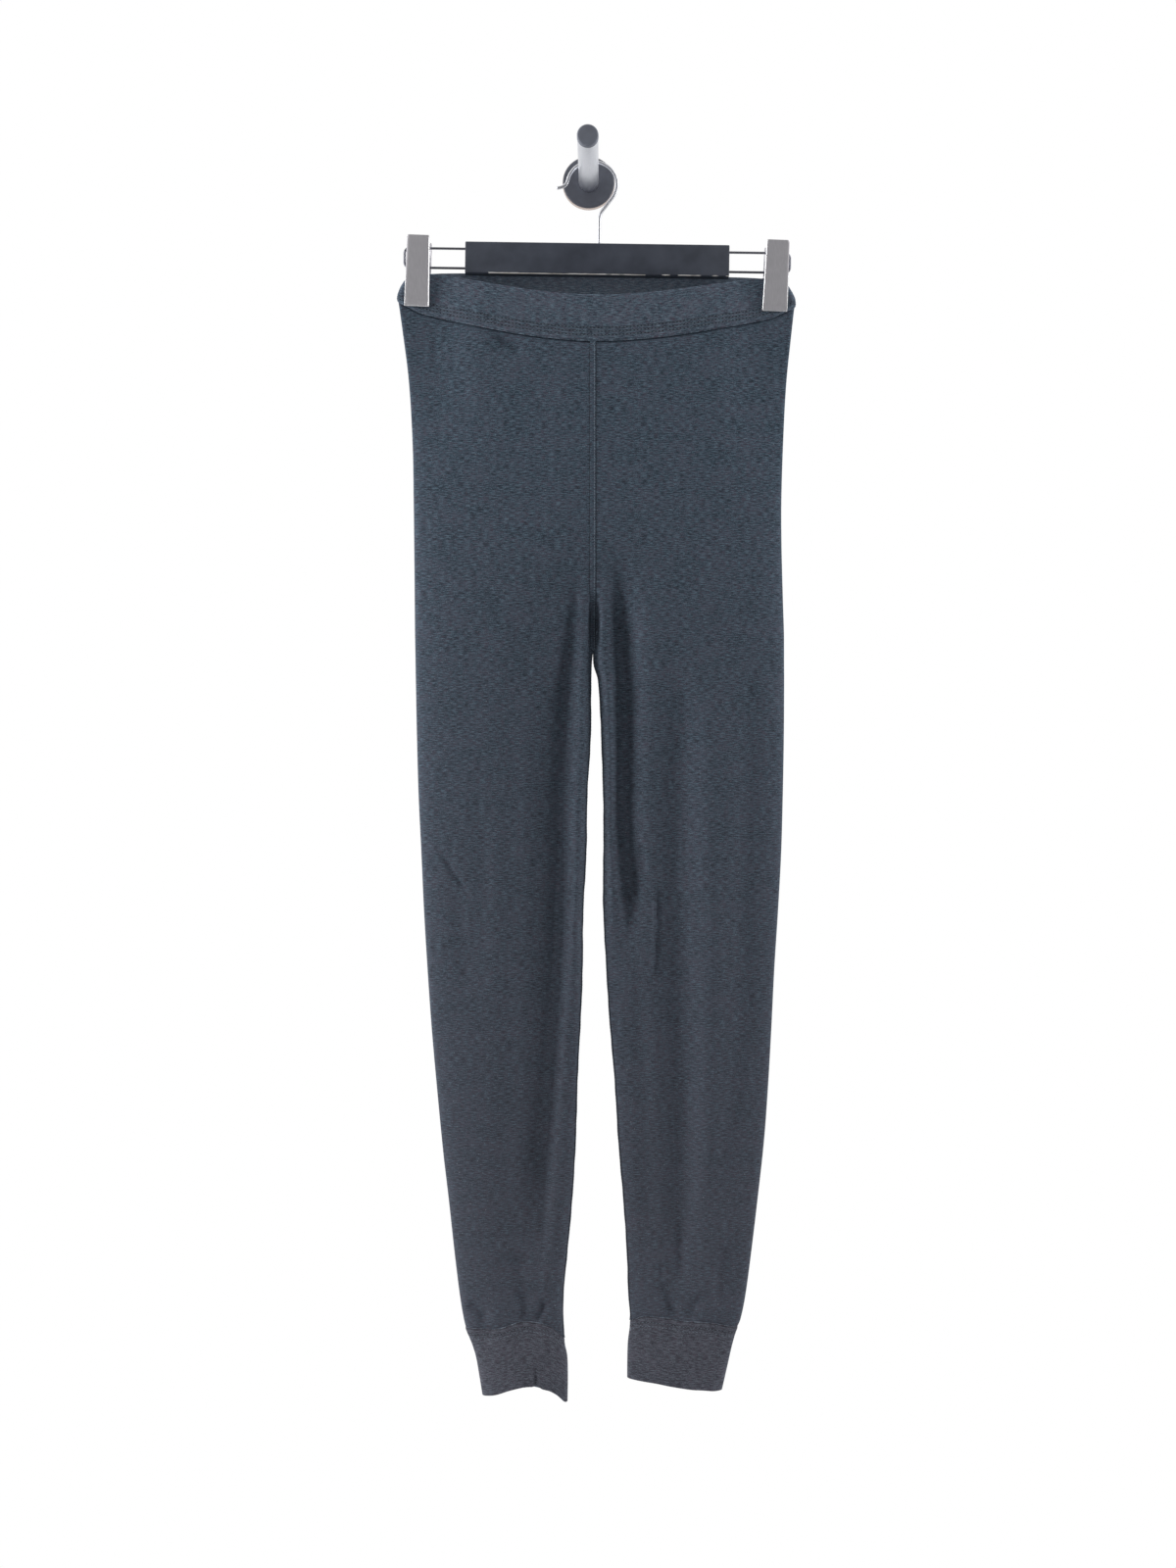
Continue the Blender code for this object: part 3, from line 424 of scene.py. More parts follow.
band = {
    "height": 38.0,
    "proud": 1.0,
    "inside": 1.2,
    "sideLift": 9.2,
    "earLift": 3.4,
    "frontSag": 29.6,
    "backSag": 13.0,
    "sagReach": 1.1,
    "sagPower": 1.74,
    "sagDrop": 260.0,
    "frontDip": 18.7,
    "dipPower": 1.35,
    "backRise": 9.0,
    "topDrop": 0.6,
    "shoulder": (0.055, 4.0),
    "side": ((0.0, -0.9), (0.1, 0.3), (0.25, 0.2), (0.6, -2.0), (0.85, -5.2), (1.0, -8.0)),
}
# How the cloth of each leg is folded, on its front and on its back. A negative depth is a ridge.
# A fold: start and end drop, distance from the inner edge at each, half width, depth.
# A pucker over the cuff: distance from the inner edge, half width, depth.
# A crease: depth, width towards the inner edge, width away from it, faded share of each end, and its route as
# distances from the centre seam and drops. A crease marked as a step is sunk on one side and stands up on the
# other.
drape = {
    ("right", "front"): {
        "folds": ((248, 700, 7.5, 6.5, 5.5, -4.4), (500, 640, 112.0, 95.0, 9.0, 1.5)),
        "puckers": ((31.0, 9.0, 2.6), (68.0, 7.0, 1.6)),
        "creases": (
            (13.5, 6.5, 18.0, 0.25, (
                (13, 208), (15.5, 270), (17.5, 310), (21, 351), (23.5, 407), (26, 452), (26.5, 508),
                (28, 576), (33, 660), (40, 761), (48, 900),
            )),
            (9.0, 16.0, 18.0, 0.25, (
                (44, 250), (50, 351), (52, 452), (54, 576), (57, 660), (60, 761), (62, 930),
            )),
            (-0.6, 10.0, 14.0, 0.3, ((86, 340), (80, 420), (78, 483), (79, 576), (78, 640), (74, 760))),
            (1.4, 3.0, 5.0, 0.25, ((18.5, 272), (21.1, 310), (26.1, 352), (28.7, 390))),
            (0.8, 1.2, 1.8, 0.3, ((31.2, 525), (31.2, 551), (32.5, 578))),
            (2.0, 1.9, 2.4, 0.35, ((134.2, 496), (120.7, 517), (104.6, 538))),
            (1.3, 1.8, 1.8, 0.3, ((119.8, 831), (97.0, 830), (79.3, 832), (59.1, 831), (40.5, 830))),
            (1.3, 8.0, 10.0, 0.3, ((97.0, 440), (94.0, 483), (95.3, 576), (97.0, 643))),
            (2.4, 6.0, 7.0, 0.35, ((76.2, 886), (63.3, 882), (50.6, 880), (39.3, 883))),
            (4.0, 6.0, 7.0, 0.3, ((63.3, 878), (61.6, 893), (63.3, 908))),
            (4.4, 3.6, 4.4, 0.3, ((40.5, 884), (45.6, 897), (49.9, 908))),
            (2.8, 5.0, 5.0, 0.3, ((110.5, 889), (99.7, 894), (88.1, 903))),
            (4.0, 8.0, 10.0, 0.3, ((70.0, 842), (68.3, 863), (65.0, 888))),
            (4.2, 4.0, 6.0, 0.35, ((90.0, 43), (74.0, 48.5), (56.0, 55))),
        ),
    },
    ("left", "front"): {
        "folds": ((250, 620, 7.5, 6.5, 5.5, -4.6),),
        "puckers": ((36.0, 7.0, 2.6), (72.0, 10.0, 2.0)),
        "creases": (
            (15.5, 6.0, 16.0, 0.25, (
                (18.5, 226), (21.5, 295), (22.8, 323), (24.2, 351), (24.2, 379), (24.5, 413), (24, 441),
                (24, 477), (27, 508), (30, 560), (32, 605),
            )),
            (3.2, 8.0, 9.0, 0.3, ((36, 560), (41, 660), (46, 760), (50, 880))),
            (10.5, 20.0, 18.0, 0.2, (
                (64, 290), (72, 360), (73, 400), (72, 500), (72, 600), (75, 700), (75, 800), (74, 930),
            )),
            (-1.8, 9.0, 9.0, 0.25, (
                (101, 330), (100, 483), (104, 560), (101, 640), (99, 736), (96, 800), (92, 870),
            )),
            (3.0, 12.0, 9.0, 0.2, (
                (134, 300), (134, 483), (130, 576), (127, 677), (120, 736), (112, 795), (107, 880),
            )),
            (2.4, 1.4, 2.0, 0.35, ((13.5, 481), (17.7, 498), (24.5, 522))),
            (2.4, 1.4, 2.2, 0.35, ((31.2, 503), (35.5, 523), (41.4, 542))),
            (3.0, 2.0, 5.0, 0.2, ((54.0, 525), (53.6, 551), (53.2, 580), (51.9, 601), (50.7, 616)), "step"),
            (2.0, 3.4, 5.0, 0.3, ((76.6, 812), (75.1, 848), (71.8, 879))),
            (3.2, 5.0, 6.0, 0.3, ((57.2, 869), (62.5, 886), (71.1, 903))),
            (1.6, 3.0, 3.0, 0.3, ((57.4, 855), (58.2, 866), (57.4, 873))),
            (2.6, 4.5, 5.0, 0.3, ((80.9, 905), (86.9, 892), (94.8, 880))),
            (3.6, 8.0, 9.0, 0.3, ((114.8, 831), (112.3, 863), (107.2, 901))),
        ),
    },
    ("right", "back"): {
        "folds": ((240, 640, 24.0, 32.0, 11.0, 4.0), (420, 860, 84.0, 60.0, 13.0, 7.0)),
        "puckers": ((34.0, 8.0, 2.0),),
        "creases": (
            (2.0, 3.0, 4.5, 0.35, ((12, 268), (34, 290), (62, 304))),
            (1.7, 2.4, 3.4, 0.35, ((20, 332), (44, 344), (70, 348))),
            (1.6, 2.2, 3.0, 0.35, ((118, 560), (92, 568), (64, 562))),
            (1.6, 10.0, 14.0, 0.25, ((108, 330), (104, 500), (98, 700), (92, 850))),
            (1.6, 2.4, 3.0, 0.3, ((60, 872), (57, 888), (52, 905))),
            (1.2, 2.0, 2.6, 0.3, ((86, 878), (84, 892), (80, 906))),
        ),
    },
    ("left", "back"): {
        "folds": ((240, 700, 24.0, 30.0, 11.0, 4.0), (480, 900, 92.0, 66.0, 13.0, 7.5)),
        "puckers": ((52.0, 9.0, 2.0),),
        "creases": (
            (2.2, 3.0, 4.5, 0.35, ((14, 276), (38, 296), (70, 306))),
            (1.7, 2.4, 3.4, 0.35, ((22, 340), (50, 356), (82, 361))),
            (1.7, 2.2, 3.0, 0.35, ((52, 548), (80, 557), (112, 552))),
            (0.8, 1.6, 2.2, 0.35, ((60, 590), (84, 594), (104, 588))),
            (1.6, 10.0, 14.0, 0.25, ((122, 380), (118, 560), (108, 780), (100, 870))),
            (1.5, 2.4, 3.0, 0.3, ((66, 868), (64, 886), (68, 900))),
            (1.2, 2.0, 2.6, 0.3, ((98, 874), (95, 888), (90, 902))),
        ),
    },
}
puckerLength = 34.0
stepRise = 0.55


def creaseDepth(crease, x, drop):
    # how far one crease pushes the cloth in, by the distance to its route
    depth, inward, outward, fade, route, *step = crease
    route = np.array(route, float)
    lengths = np.hypot(*np.diff(route, axis=0).T)
    starts = np.concatenate([[0.0], np.cumsum(lengths)[:-1]])
    reach = 3.0 * max(inward, outward)
    low, high = route.min(0) - reach, route.max(0) + reach
    near = (x > low[0]) & (x < high[0]) & (drop > low[1]) & (drop < high[1])
    px, py = x[near], drop[near]
    best = np.full(px.shape, 1e9)
    side, along = np.zeros(px.shape), np.zeros(px.shape)
    for a, b, length, start in zip(route[:-1], route[1:], lengths, starts):
        way = (b - a) / length
        t = np.clip((px - a[0]) * way[0] + (py - a[1]) * way[1], 0.0, length)
        dx, dy = px - a[0] - t * way[0], py - a[1] - t * way[1]
        away = np.hypot(dx, dy)
        nearer = away < best
        best = np.where(nearer, away, best)
        side = np.where(nearer, dx * way[1] - dy * way[0], side)
        along = np.where(nearer, start + t, along)
    share = along / lengths.sum()
    ends = smooth(0.0, fade, share) * smooth(0.0, fade, 1.0 - share)
    shape = bell(best, np.where(side > 0, outward, inward))
    if step:
        shape = np.where(side > 0, 1.0, -stepRise) * np.minimum(1.0, best) * shape
    push = np.zeros(x.shape)
    push[near] = depth * ends * shape
    return push


def foldDepth(leg, face, x, fromInner, drop, fine):
    total = np.zeros(x.shape)
    for start, end, near, far, half, depth in drape[leg, face]["folds"]:
        share = np.clip((drop - start) / (end - start), 0.0, 1.0)
        across = bell(fromInner - mix(near, far, share), half)
        total += depth * across * smooth(0, 0.3, share) * smooth(0, 0.35, 1 - share)
    seam = cuffs[leg][-1][1]
    reach = smooth(seam - puckerLength, seam - 8.0, drop) * (1.0 - smooth(seam + 4.0, seam + 20.0, drop))
    for near, half, depth in drape[leg, face]["puckers"]:
        total += depth * reach * bell(fromInner - near, half)
    for crease in drape[leg, face]["creases"] if fine else ():
        total += creaseDepth(crease, x, drop)
    return total


def edgeLift(leg, face, x):
    # how far the band's lower edge stands above its drop: it sags between the clips and lifts past them
    clipAt = legForm["clipAt"][leg]
    share = np.minimum(1.0, np.abs(x) / (clipAt * band["sagReach"]))
    ear = band["earLift"] * smooth(clipAt - 4.0, clipAt * band["sagReach"], x)
    return band["sideLift"] + ear - band[face + "Sag"] * (1.0 - share ** band["sagPower"])


def topEdgeLift(leg, face, x):
    # the same for its top edge, where the front dips and the back rises
    share = x / legForm["clipAt"][leg]
    between = np.cos(math.pi / 2 * np.clip(share, 0.0, 1.0)) ** band["dipPower"]
    lift = -band["frontDip"] * between if face == "front" else band["backRise"] * between
    width, fall = band["shoulder"]
    return lift - band["topDrop"] - fall * np.clip((share - 1.0) / width, 0.0, 1.0) ** 2


def legSpan(leg, drop, widen, least):
    # the side fold, the inner edge, their middle and half width, and the angle where the cloth begins
    outer = curveThrough(legs[leg], 1, drop) + widen
    inner = curveThrough(legs[leg], 2, drop) - widen
    middle, half = (outer + inner) / 2, (outer - inner) / 2
    begin = np.arccos(np.clip((middle - np.maximum(inner, least)) / half, -1.0, 1.0))
    return outer, inner, middle, half, begin


def clothPoint(leg, face, x, drop, widen=0.0, up=None, fine=True):
    # points of the cloth's outer surface in mm, at a distance x from the centre seam and a drop below the
    # waist; up is the share of the band's height where the point is on the band
    x, drop = np.broadcast_arrays(np.asarray(x, float), np.asarray(drop, float))
    outer, inner, middle, half, begin = legSpan(leg, drop, widen, legForm["seamGap"])
    across = np.clip((x - middle) / half, -1.0, 1.0)
    share = (np.arccos(-across) - begin) / (math.pi - begin)
    lens = np.maximum(0.0, 1.0 - np.abs(across) ** legForm["roundness"]) ** (1.0 / legForm["roundness"])
    y = curveThrough(legs[leg], 3 if face == "front" else 4, drop) * lens
    # the seat is drawn into a groove above the crotch
    crotch = legForm["crotch"]
    reach = smooth(legForm["grooveStart"], legForm["grooveFull"], drop)
    reach = reach * (1.0 - smooth(*legForm["grooveFade"][leg], drop))
    deeper = smooth(crotch - legForm["crotchReach"], crotch, drop)
    floor = mix(legForm["grooveFloor"][face], legForm["crotchFloor"], deeper)
    groove = reach * np.exp(-((x / legForm["grooveHalf"][leg]) ** 4))
    y = y - groove * np.maximum(0.0, y - floor)
    # the clips hold front and back together, and the hold fades below them and to each side
    toTip = np.clip((x - (outer - legForm["tipRound"])) / legForm["tipRound"], 0.0, 1.0)
    loose = legForm["loose"] * (1.0 - smooth(0.0, band["height"] * 0.8, drop))
    held = (legForm["holdHalf"] + loose) * np.sqrt(np.maximum(0.0, 1.0 - toTip * toTip))
    past = np.abs(x - legForm["clipAt"][leg]) - legForm["clipHalf"]
    between = 1.0 - smooth(0.0, legForm["holdFade"], past)
    outside = 1.0 - legForm["tipHold"] * smooth(0.0, legForm["tipRound"] * 2, past)
    beside = np.where(x < legForm["clipAt"][leg], between, outside)
    y = mix(y, held, beside * (1.0 - smooth(band["height"], legForm["holdDrop"], drop)))
    # a fold never reaches the other face
    edges = smooth(0.0, legForm["foldEdge"], share) * smooth(0.0, legForm["foldEdge"], 1.0 - share)
    folded = y - edges * foldDepth(leg, face, x, x - np.maximum(inner, 0.0), drop, fine and up is None)
    y = np.maximum(folded, np.minimum(y, legForm["foldFloor"][face]))
    fall = 1.0 - smooth(band["height"], band["sagDrop"], drop)
    if up is None:
        height = edgeLift(leg, face, x) * fall
    else:
        height = mix(edgeLift(leg, face, x), topEdgeLift(leg, face, x), up)
    worldX = hang["seamX"] + sideOf[leg] * x
    z = hang["waistZ"] - drop + height - math.tan(hang["tilt"]) * (worldX - hang["barX"]) * fall
    return np.stack([worldX, hang["planeY"] + facing[face] * y, z], axis=-1)


def acrossLeg(leg, share, drop, widen=0.0):
    # distance from the centre seam at this share of the way from the inner edge to the side fold
    middle, half, begin = legSpan(leg, drop, widen, 0.0)[2:]
    return middle - half * np.cos(mix(begin, math.pi, share))


def cuffDrop(leg, edge, face, share):
    column = {"seam": 1, "hem": 3}[edge] + (face == "back")
    return curveThrough(cuffs[leg], column, (1.0 - np.cos(math.pi * share)) / 2)


def seamWobble(leg, drop):
    # the inseam's stitches draw the edge in unevenly, from the crotch down
    phase, crotch = legForm["wobblePhase"][leg], legForm["crotch"]
    waves = 0.1 * np.sin(drop / 5.3 + phase) + 0.14 * np.sin(drop / 17.7 + 2.1 * phase)
    return (waves + 0.06 * np.sin(drop / 2.9)) * smooth(crotch - 4.0, crotch + 20.0, drop)


def levelNormals(grid, closed):
    # unit normals in the level plane, from each point's neighbours round its row
    if closed:
        along = np.roll(grid, -1, axis=1) - np.roll(grid, 1, axis=1)
    else:
        along = np.gradient(grid, axis=1)
    return unit(np.stack([along[..., 1], -along[..., 0], np.zeros(along.shape[:2])], axis=-1))


def outwardFrom(ring):
    normal = levelNormals(ring[None], True)[0]
    return normal * np.sign(((ring - ring.mean(0)) * normal).sum())


def faceShares(columns, face):
    # shares of the way from the inner edge to the side fold: out along the front and home along the back
    shares = np.arange(columns[face] + 1) / columns[face]
    return shares if face == "front" else 1.0 - shares[1:]


def addObject(name, data):
    made = bpy.data.objects.new(name, data)
    bpy.context.scene.collection.objects.link(made)
    return made


def settle(made, node=None):
    # what a finished piece replaces; nothing here moves, so all rides on the root
    if node:
        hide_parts(node)
    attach(made, "root")
    return made


def meshFrom(name, points, faces, materials, uvs=None, which=None, weld=False, outwards=True, sharp=60.0):
    mesh = bpy.data.meshes.new(name)
    mesh.from_pydata((np.asarray(points) * mm).tolist(), [], faces)
    mesh.update()
    for material in materials:
        mesh.materials.append(material)
    if which is not None:
        mesh.polygons.foreach_set("material_index", np.asarray(which, np.int32))
    if uvs is not None:
        corners = np.zeros(len(mesh.loops), np.int32)
        mesh.loops.foreach_get("vertex_index", corners)
        places = np.asarray(uvs)[corners].astype(np.float32)
        mesh.uv_layers.new(name="cloth").data.foreach_set("uv", places.ravel())
    shape = bmesh.new()
    shape.from_mesh(mesh)
    if weld:
        # a tube's first and last columns lie on each other, each with its own place in the cloth's pattern
        bmesh.ops.remove_doubles(shape, verts=shape.verts, dist=1e-7)
    if outwards:
        bmesh.ops.recalc_face_normals(shape, faces=shape.faces)
    shape.to_mesh(mesh)
    shape.free()
    mesh.shade_smooth()
    mesh.set_sharp_from_angle(angle=math.radians(sharp))
    return addObject(name, mesh)


legMesh = {
    "front": 148,
    "back": 88,
    "rowStep": 3.0,
    "coarse": 4,
    "underBand": (-1.2, 4.0),
    "cuffBlend": 60.0,
    "tuck": {"band": 2.0, "cuff": 0.6},
    "wobbleShare": 0.06,
    "seamHair": 0.02,
    "uvStart": {"right": 0.0, "left": 1.7},
}


def legRows(leg):
    # drops of the cloth's rows, in whole coarse cells above the crotch and below it, and the crotch's row
    end, crotch, top = cuffs[leg][-1][1], legForm["crotch"], band["height"]
    step, coarse = legMesh["rowStep"], legMesh["coarse"]
    start, seat = (top + away for away in legMesh["underBand"])
    spans = (
        np.linspace(start, seat, 7)[:-1],
        np.linspace(seat, crotch, round((crotch - top) / step / coarse) * coarse + 3)[:-1],
        np.linspace(crotch, end, round((end - crotch) / step / coarse) * coarse + 1),
    )
    drops = np.concatenate(spans)
    crotchRow = int(np.argmin(np.abs(drops - crotch)))
    while crotchRow % coarse:
        drops = np.insert(drops, 7, (drops[6] + drops[7]) / 2)
        crotchRow += 1
    while (len(drops) - 1) % coarse:
        drops = np.insert(drops, crotchRow + 1, (drops[crotchRow] + drops[crotchRow + 1]) / 2)
    return drops, crotchRow


def legGrid(leg, drops, fine):
    # the cloth's outer surface, row by row round the leg
    top, end = band["height"], cuffs[leg][-1][1]
    pieces = []
    for face in facing:
        shares = faceShares(legMesh, face)
        seam = cuffDrop(leg, "seam", face, shares)[None, :]
        rows = drops[:, None] + (seam - end) * smooth(end - legMesh["cuffBlend"], end, drops)[:, None]
        points = clothPoint(leg, face, acrossLeg(leg, shares[None, :], rows), rows, fine=fine)
        # the cloth turns in a little where the band and the cuff are sewn over it
        tuck = legMesh["tuck"]["band"] * (1.0 - smooth(top + 0.5, top + 3.0, drops))
        tuck = tuck + legMesh["tuck"]["cuff"] * smooth(end - 2.2, end - 0.2, drops)
        points[..., 1] -= facing[face] * tuck[:, None] * np.minimum(1.0, 12 * (1.02 - shares))
        if fine:
            near = bell(shares, legMesh["wobbleShare"])
            points[..., 0] += sideOf[leg] * seamWobble(leg, drops)[:, None] * near
        pieces.append(points)
    return np.concatenate(pieces, axis=1)


def legFaces(out, into, crotchRow):
    # the cloth's right side, then its wrong side and the edges that close the wall between them
    step, last = legMesh["coarse"], out.shape[1] - 1
    faces = []
    for i in range(out.shape[0] - 1):
        for j in range(last):
            faces.append((out[i, j], out[i + 1, j], out[i + 1, j + 1], out[i, j + 1]))
    shown = len(faces)
    for i in range(into.shape[0] - 1):
        for j in range(into.shape[1] - 1):
            faces.append((into[i, j], into[i, j + 1], into[i + 1, j + 1], into[i + 1, j]))
    for i in range(0, crotchRow, step):
        for edge in (0, -1):
            face = [out[i + s, edge] for s in range(step, -1, -1)]
            face += [into[i // step, edge], into[i // step + 1, edge]]
            faces.append(face[::-1] if edge else face)
    for row in (0, -1):
        for j in range(0, last, step):
            face = [out[row, j + s] for s in range(step + 1)]
            face += [into[row, j // step + 1], into[row, j // step]]
            faces.append(face[::-1] if row else face)
    return faces, [0] * shown + [1] * (len(faces) - shown)


def buildLeg(leg):
    drops, crotchRow = legRows(leg)
    side, step = sideOf[leg], legMesh["coarse"]
    outside, plain = (legGrid(leg, drops, fine) for fine in (True, False))
    normal = levelNormals(plain, False)
    normal[crotchRow:, :-1] = levelNormals(plain[:, :-1], True)[crotchRow:]
    for grid in (normal, outside, plain):
        grid[crotchRow:, -1] = grid[crotchRow:, 0]
    # the wrong side keeps clear of every crease: it follows the deepest one within a coarse cell
    pushed = np.abs(plain[..., 1] - outside[..., 1])
    for axis in (0, 1):
        pushed = np.max([np.roll(pushed, shift, axis=axis) for shift in range(-step, step + 1)], axis=0)
    inwards = [-facing[face] for face in facing for _ in faceShares(legMesh, face)]
    sunk = plain.copy()
    sunk[..., 1] += pushed * np.array(inwards)
    inside = (sunk - side * normal * legForm["wall"])[::step, ::step]
    inside[crotchRow // step :, -1] = inside[crotchRow // step :, 0]
    # distances round and down the cloth, for its knit
    rounds = np.cumsum(np.linalg.norm(np.diff(plain, axis=1), axis=2), 1)
    around = np.concatenate([np.zeros((len(drops), 1)), rounds], 1)
    places = np.stack([around, plain[..., 2] - hang["waistZ"]], axis=-1) * mm + legMesh["uvStart"][leg]
    points, uvs, numbers = [], [], []
    for grid, stride in ((outside, 1), (inside, step)):
        # above the crotch the two legs meet at the centre seam, a hair apart
        grid[: crotchRow // stride, [0, -1], 0] = hang["seamX"] + side * legMesh["seamHair"]
        numbers.append(len(points) + np.arange(grid[..., 0].size).reshape(grid.shape[:2]))
        points.extend(grid.reshape(-1, 3))
        uvs.extend(places[::stride, ::stride].reshape(-1, 2))
    faces, which = legFaces(*numbers, crotchRow)
    faces = [tuple(int(v) for v in (face[::-1] if leg == "left" else face)) for face in faces]
    cloth = (heatherJersey, heatherInsidePaintedLighter)
    made = meshFrom(f"leg_{leg}_cloth", points, faces, cloth, uvs, which, weld=True, outwards=False)
    cells = np.cross(np.diff(plain, axis=0)[:, 1:], np.diff(plain, axis=1)[1:])
    area = np.linalg.norm(cells, axis=2).sum() * mm * mm
    print(f"leg_{leg}: {len(faces)} faces, cloth {area:.4f} m2, widest {around[:, -1].max():.0f} mm")
    return settle(made, f"leg_{leg}")


legPieces = {leg: buildLeg(leg) for leg in sideOf}
print("legs made")

tubeRim = {"turns": 4, "bulge": 0.55}


def ringTube(name, outside, inside, uvs, materials):
    # a closed tube wall: its outside, a rounded rim, its inside and a rounded rim again
    outside, inside = (np.array(grid) for grid in (outside, inside))
    outside, inside = (np.concatenate([grid, grid[:, :1]], axis=1) for grid in (outside, inside))
    rows, count = outside.shape[:2]
    angles = [math.pi * turn / tubeRim["turns"] for turn in range(1, tubeRim["turns"])]

    def overRim(start, end, ahead):
        bulge = unit(ahead) * tubeRim["bulge"]
        return [mix(start, end, (1 - math.cos(angle)) / 2) + bulge * math.sin(angle) for angle in angles]

    rings = [*outside, *overRim(outside[-1], inside[-1], outside[-1] - outside[-2]), *inside[::-1]]
    rings += overRim(inside[0], outside[0], outside[0] - outside[1])
    uvs = [*uvs, *[uvs[-1]] * len(angles), *uvs[::-1], *[uvs[0]] * len(angles)]
    faces, which = [], []
    for i in range(len(rings)):
        k = (i + 1) % len(rings)
        for j in range(count - 1):
            faces.append((i * count + j, k * count + j, k * count + j + 1, i * count + j + 1))
            which.append(1 if rows <= i < len(rings) - 1 else 0)
    return meshFrom(name, np.concatenate(rings), faces, materials, np.concatenate(uvs), which, weld=True)


def roundTheRing(ring):
    # distances round a closed ring, with the full length at its end
    return np.append(0.0, np.cumsum(np.linalg.norm(np.roll(ring, -1, axis=0) - ring, axis=1)))


def doubledStrip(name, rows, size, way, material, ringAt, standOut):
    # a doubled strip sewn round the cloth: its rings stand out a little from the cloth at each height
    outside, inside, uvs = [], [], []
    for share in np.linspace(0.0, 1.0, rows):
        ring, outward = ringAt(share)
        around, height = roundTheRing(ring), share * size["height"]
        outside.append(ring + outward * np.reshape(standOut(height, around[:-1]), (-1, 1)))
        inside.append(ring - outward * size["inside"])
        uvs.append(np.stack([around, np.full(len(around), way * height)], axis=1) * mm)
    made = ringTube(f"{name}_cloth", outside, inside, uvs, (material, heatherInsidePaintedLighter))
    length = np.linalg.norm(np.diff(outside[rows // 2], axis=0), axis=1).sum()
    print(f"{name}: {len(made.data.polygons)} faces, {length:.0f} mm round")
    return settle(made, name)


bandMesh = {"front": 150, "back": 90, "rows": 46}
bandRelief = {
    # depth and half width of a stitched row, then height and length of the elastic's ripples and slow waves
    "dent": (0.34, 0.75),
    "ripple": (0.10, 2.35),
    "wave": (0.14, 9.1),
    "topFall": 0.25,
    "seamFall": 0.35,
}


def bandRow(up):
    # one ring round the waist, from the centre front by the wearer's right side to the back and home again
    widen = float(curveThrough(band["side"], 1, up))
    drop = mix(band["height"], 0.0, up)
    halves = {}
    for leg in sideOf:
        pieces = []
        for face in facing:
            x = acrossLeg(leg, faceShares(bandMesh, face), drop, widen)
            pieces.append(clothPoint(leg, face, x, drop, widen, up))
        halves[leg] = np.concatenate(pieces)
    ring = np.concatenate([halves["right"][:-1], halves["left"][::-1][:-1]])
    return ring, outwardFrom(ring)


def bandStandOut(height, around):
    # each row of topstitching pulls the doubled cloth in, and the elastic ripples it above the rows
    dent, half = bandRelief["dent"]
    dents = sum(dent * bell(height - row, half) for row in bandStitches)
    rise, length = bandRelief["ripple"]
    ripple = rise * np.sin(around / length) * smooth(11.0, 14.0, height) * (1.0 - smooth(30.0, 36.0, height))
    rise, length = bandRelief["wave"]
    wave = rise * np.sin(around / length + 1.3 * np.sin(height / 5.0)) * smooth(2.0, 12.0, height)
    falls = bandRelief["topFall"] * smooth(36.0, 38.0, height)
    falls = falls + bandRelief["seamFall"] * (1.0 - smooth(0.0, 1.2, height))
    return band["proud"] - dents + (ripple + wave) - falls


bandPiece = doubledStrip(
    "waistband", bandMesh["rows"], band, 1.0, heatherBand, bandRow, bandStandOut
)
cuff = {
    "height": 55.0,
    "proud": 0.7,
    "inside": 1.2,
    "stitchRows": (4.6, 8.0),
    "stitchDents": (0.3, 0.22),
    "dentHalf": 0.9,
    "seamFall": 0.3,
}
cuffMesh = {"front": 70, "back": 56, "rows": 30}
cuffDrape = {
    # a crease: face, share across, half width, depth and how far up the cuff it reaches
    "creases": {
        "right": (
            ("front", 0.41, 0.018, 3.4, 0.45),
            ("front", 0.30, 0.030, 1.1, 0.45),
            ("front", 0.17, 0.05, 0.7, 0.7),
            ("back", 0.55, 0.05, 0.8, 0.6),
        ),
        "left": (("front", 0.55, 0.06, 0.5, 0.9), ("back", 0.35, 0.05, 0.8, 0.6)),
    },
    # a notch in the front hem, where the cloth laps: share across, half width, lift in mm
    "notches": {"right": ((0.40, 0.022, 2.2), (0.14, 0.09, -1.6)), "left": ((0.80, 0.08, -0.6),)},
}


def cuffRing(leg, share):
    # one ring round the ankle, at a share of the way from the cuff's seam to its hem
    pieces = []
    for face in facing:
        shares = faceShares(cuffMesh, face)
        hem = cuffDrop(leg, "hem", face, shares)
        for at, half, lift in cuffDrape["notches"][leg] if face == "front" else ():
            hem = hem - lift * bell(shares - at, half)
        drop = mix(cuffDrop(leg, "seam", face, shares) + 0.1, hem, share)
        points = clothPoint(leg, face, acrossLeg(leg, shares, drop), drop)
        for creased, at, half, depth, reach in cuffDrape["creases"][leg]:
            if creased == face:
                depth = depth * smooth(1.0 - reach, 1.0, share)
                points[:, 1] -= facing[face] * depth * bell(shares - at, half)
        pieces.append(points)
    ring = np.concatenate(pieces)[:-1]
    return ring, outwardFrom(ring)


def cuffStandOut(below, around):
    dents = zip(cuff["stitchRows"], cuff["stitchDents"])
    dent = sum(depth * bell(below - row, cuff["dentHalf"]) for row, depth in dents)
    return cuff["proud"] - dent - cuff["seamFall"] * (1.0 - smooth(0.0, 1.5, below))


def buildCuff(leg):
    def ringAt(share):
        return cuffRing(leg, share)

    name, rows = f"cuff_{leg}", cuffMesh["rows"]
    return doubledStrip(name, rows, cuff, -1.0, heatherCuff, ringAt, cuffStandOut)


cuffPieces = {leg: buildCuff(leg) for leg in sideOf}
print("band and cuffs made")


